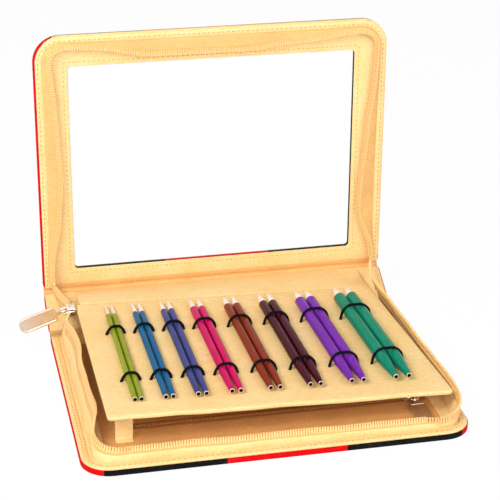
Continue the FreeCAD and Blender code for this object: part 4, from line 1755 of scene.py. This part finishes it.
class CaseStage(bpy.types.Operator):
    """Set the pale floor, the soft light and the camera."""

    bl_idname = "case.stage"
    bl_label = "Stage"

    def execute(self, context):
        scene = context.scene
        scene.view_settings.view_transform = "Standard"
        scene.world = bpy.data.worlds.new("studio")
        sky = ("ShaderNodeBackground", {"Color": (0.97, 0.985, 1, 1), "Strength": 0.43})
        backdrop = ("ShaderNodeBackground", {"Color": (1, 1, 1, 1), "Strength": 1.0})
        two_looks(scene.world, "ShaderNodeOutputWorld", sky, backdrop)
        floor = begin("floor", "plane", size=8, location=(0, 0, FLOOR_DROP))
        material = bpy.data.materials.new("pale_floor")
        paper = ("ShaderNodeBsdfDiffuse", {"Color": (0.92, 0.92, 0.92, 1)})
        glow = ("ShaderNodeEmission", {"Strength": 1.0})
        two_looks(material, "ShaderNodeOutputMaterial", paper, glow, FLOOR_GLOW)
        floor.data.materials.append(material)
        for name, place, aim, size, power in LIGHTS:
            deselect()
            bpy.ops.object.light_add(type="AREA", location=place)
            lamp = context.active_object
            lamp.name = name
            lamp.data.size = size
            lamp.data.energy = power
            way = Vector(aim) - Vector(place)
            lamp.rotation_euler = way.to_track_quat("-Z", "Y").to_euler()
        deselect()
        bpy.ops.object.camera_add()
        camera = context.active_object
        camera.name = "camera"
        turned = turn("Z", CAMERA_AZIMUTH) @ turn("X", 90 - CAMERA_ELEVATION) @ turn("Z", CAMERA_ROLL)
        camera.matrix_world = Matrix.Translation(CAMERA_PLACE) @ turned
        camera.data.sensor_width = SENSOR
        camera.data.lens = FOCAL_PIXELS / PICTURE_PIXELS * SENSOR
        scene.camera = camera
        return {"FINISHED"}


class CasePanelView(bpy.types.Panel):
    """The case's operators and settings in the sidebar."""

    bl_idname = "VIEW3D_PT_needle_case"
    bl_label = "Needle Case"
    bl_space_type = "VIEW_3D"
    bl_region_type = "UI"
    bl_category = "Needle Case"

    def draw(self, context):
        for operator in OPERATORS:
            self.layout.operator(operator.bl_idname)
        for group in (context.scene.case_sizes, context.scene.case_colours):
            for key in group.bl_rna.properties.keys():
                if key not in ("rna_type", "name"):
                    self.layout.prop(group, key)


OPERATORS = (
    CaseStage,
    CaseBase,
    CaseSpine,
    CaseLid,
    CaseCreases,
    CaseBaseWall,
    CaseLidWall,
    CaseZipBridges,
    CasePanel,
    CaseNeedles,
    CaseLoops,
    CasePocket,
    CaseSliders,
    CaseHidden,
)
CLASSES = (CaseSizes, CaseColours, *OPERATORS, CasePanelView)


def register():
    for each in CLASSES:
        bpy.utils.register_class(each)
    bpy.types.Scene.case_sizes = PointerProperty(type=CaseSizes)
    bpy.types.Scene.case_colours = PointerProperty(type=CaseColours)


def unregister():
    del bpy.types.Scene.case_colours
    del bpy.types.Scene.case_sizes
    for each in reversed(CLASSES):
        bpy.utils.unregister_class(each)


def main():
    register()
    for operator in OPERATORS:
        group, name = operator.bl_idname.split(".")
        getattr(getattr(bpy.ops, group), name)()
    deselect()
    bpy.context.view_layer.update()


if __name__ == "__main__":
    main()
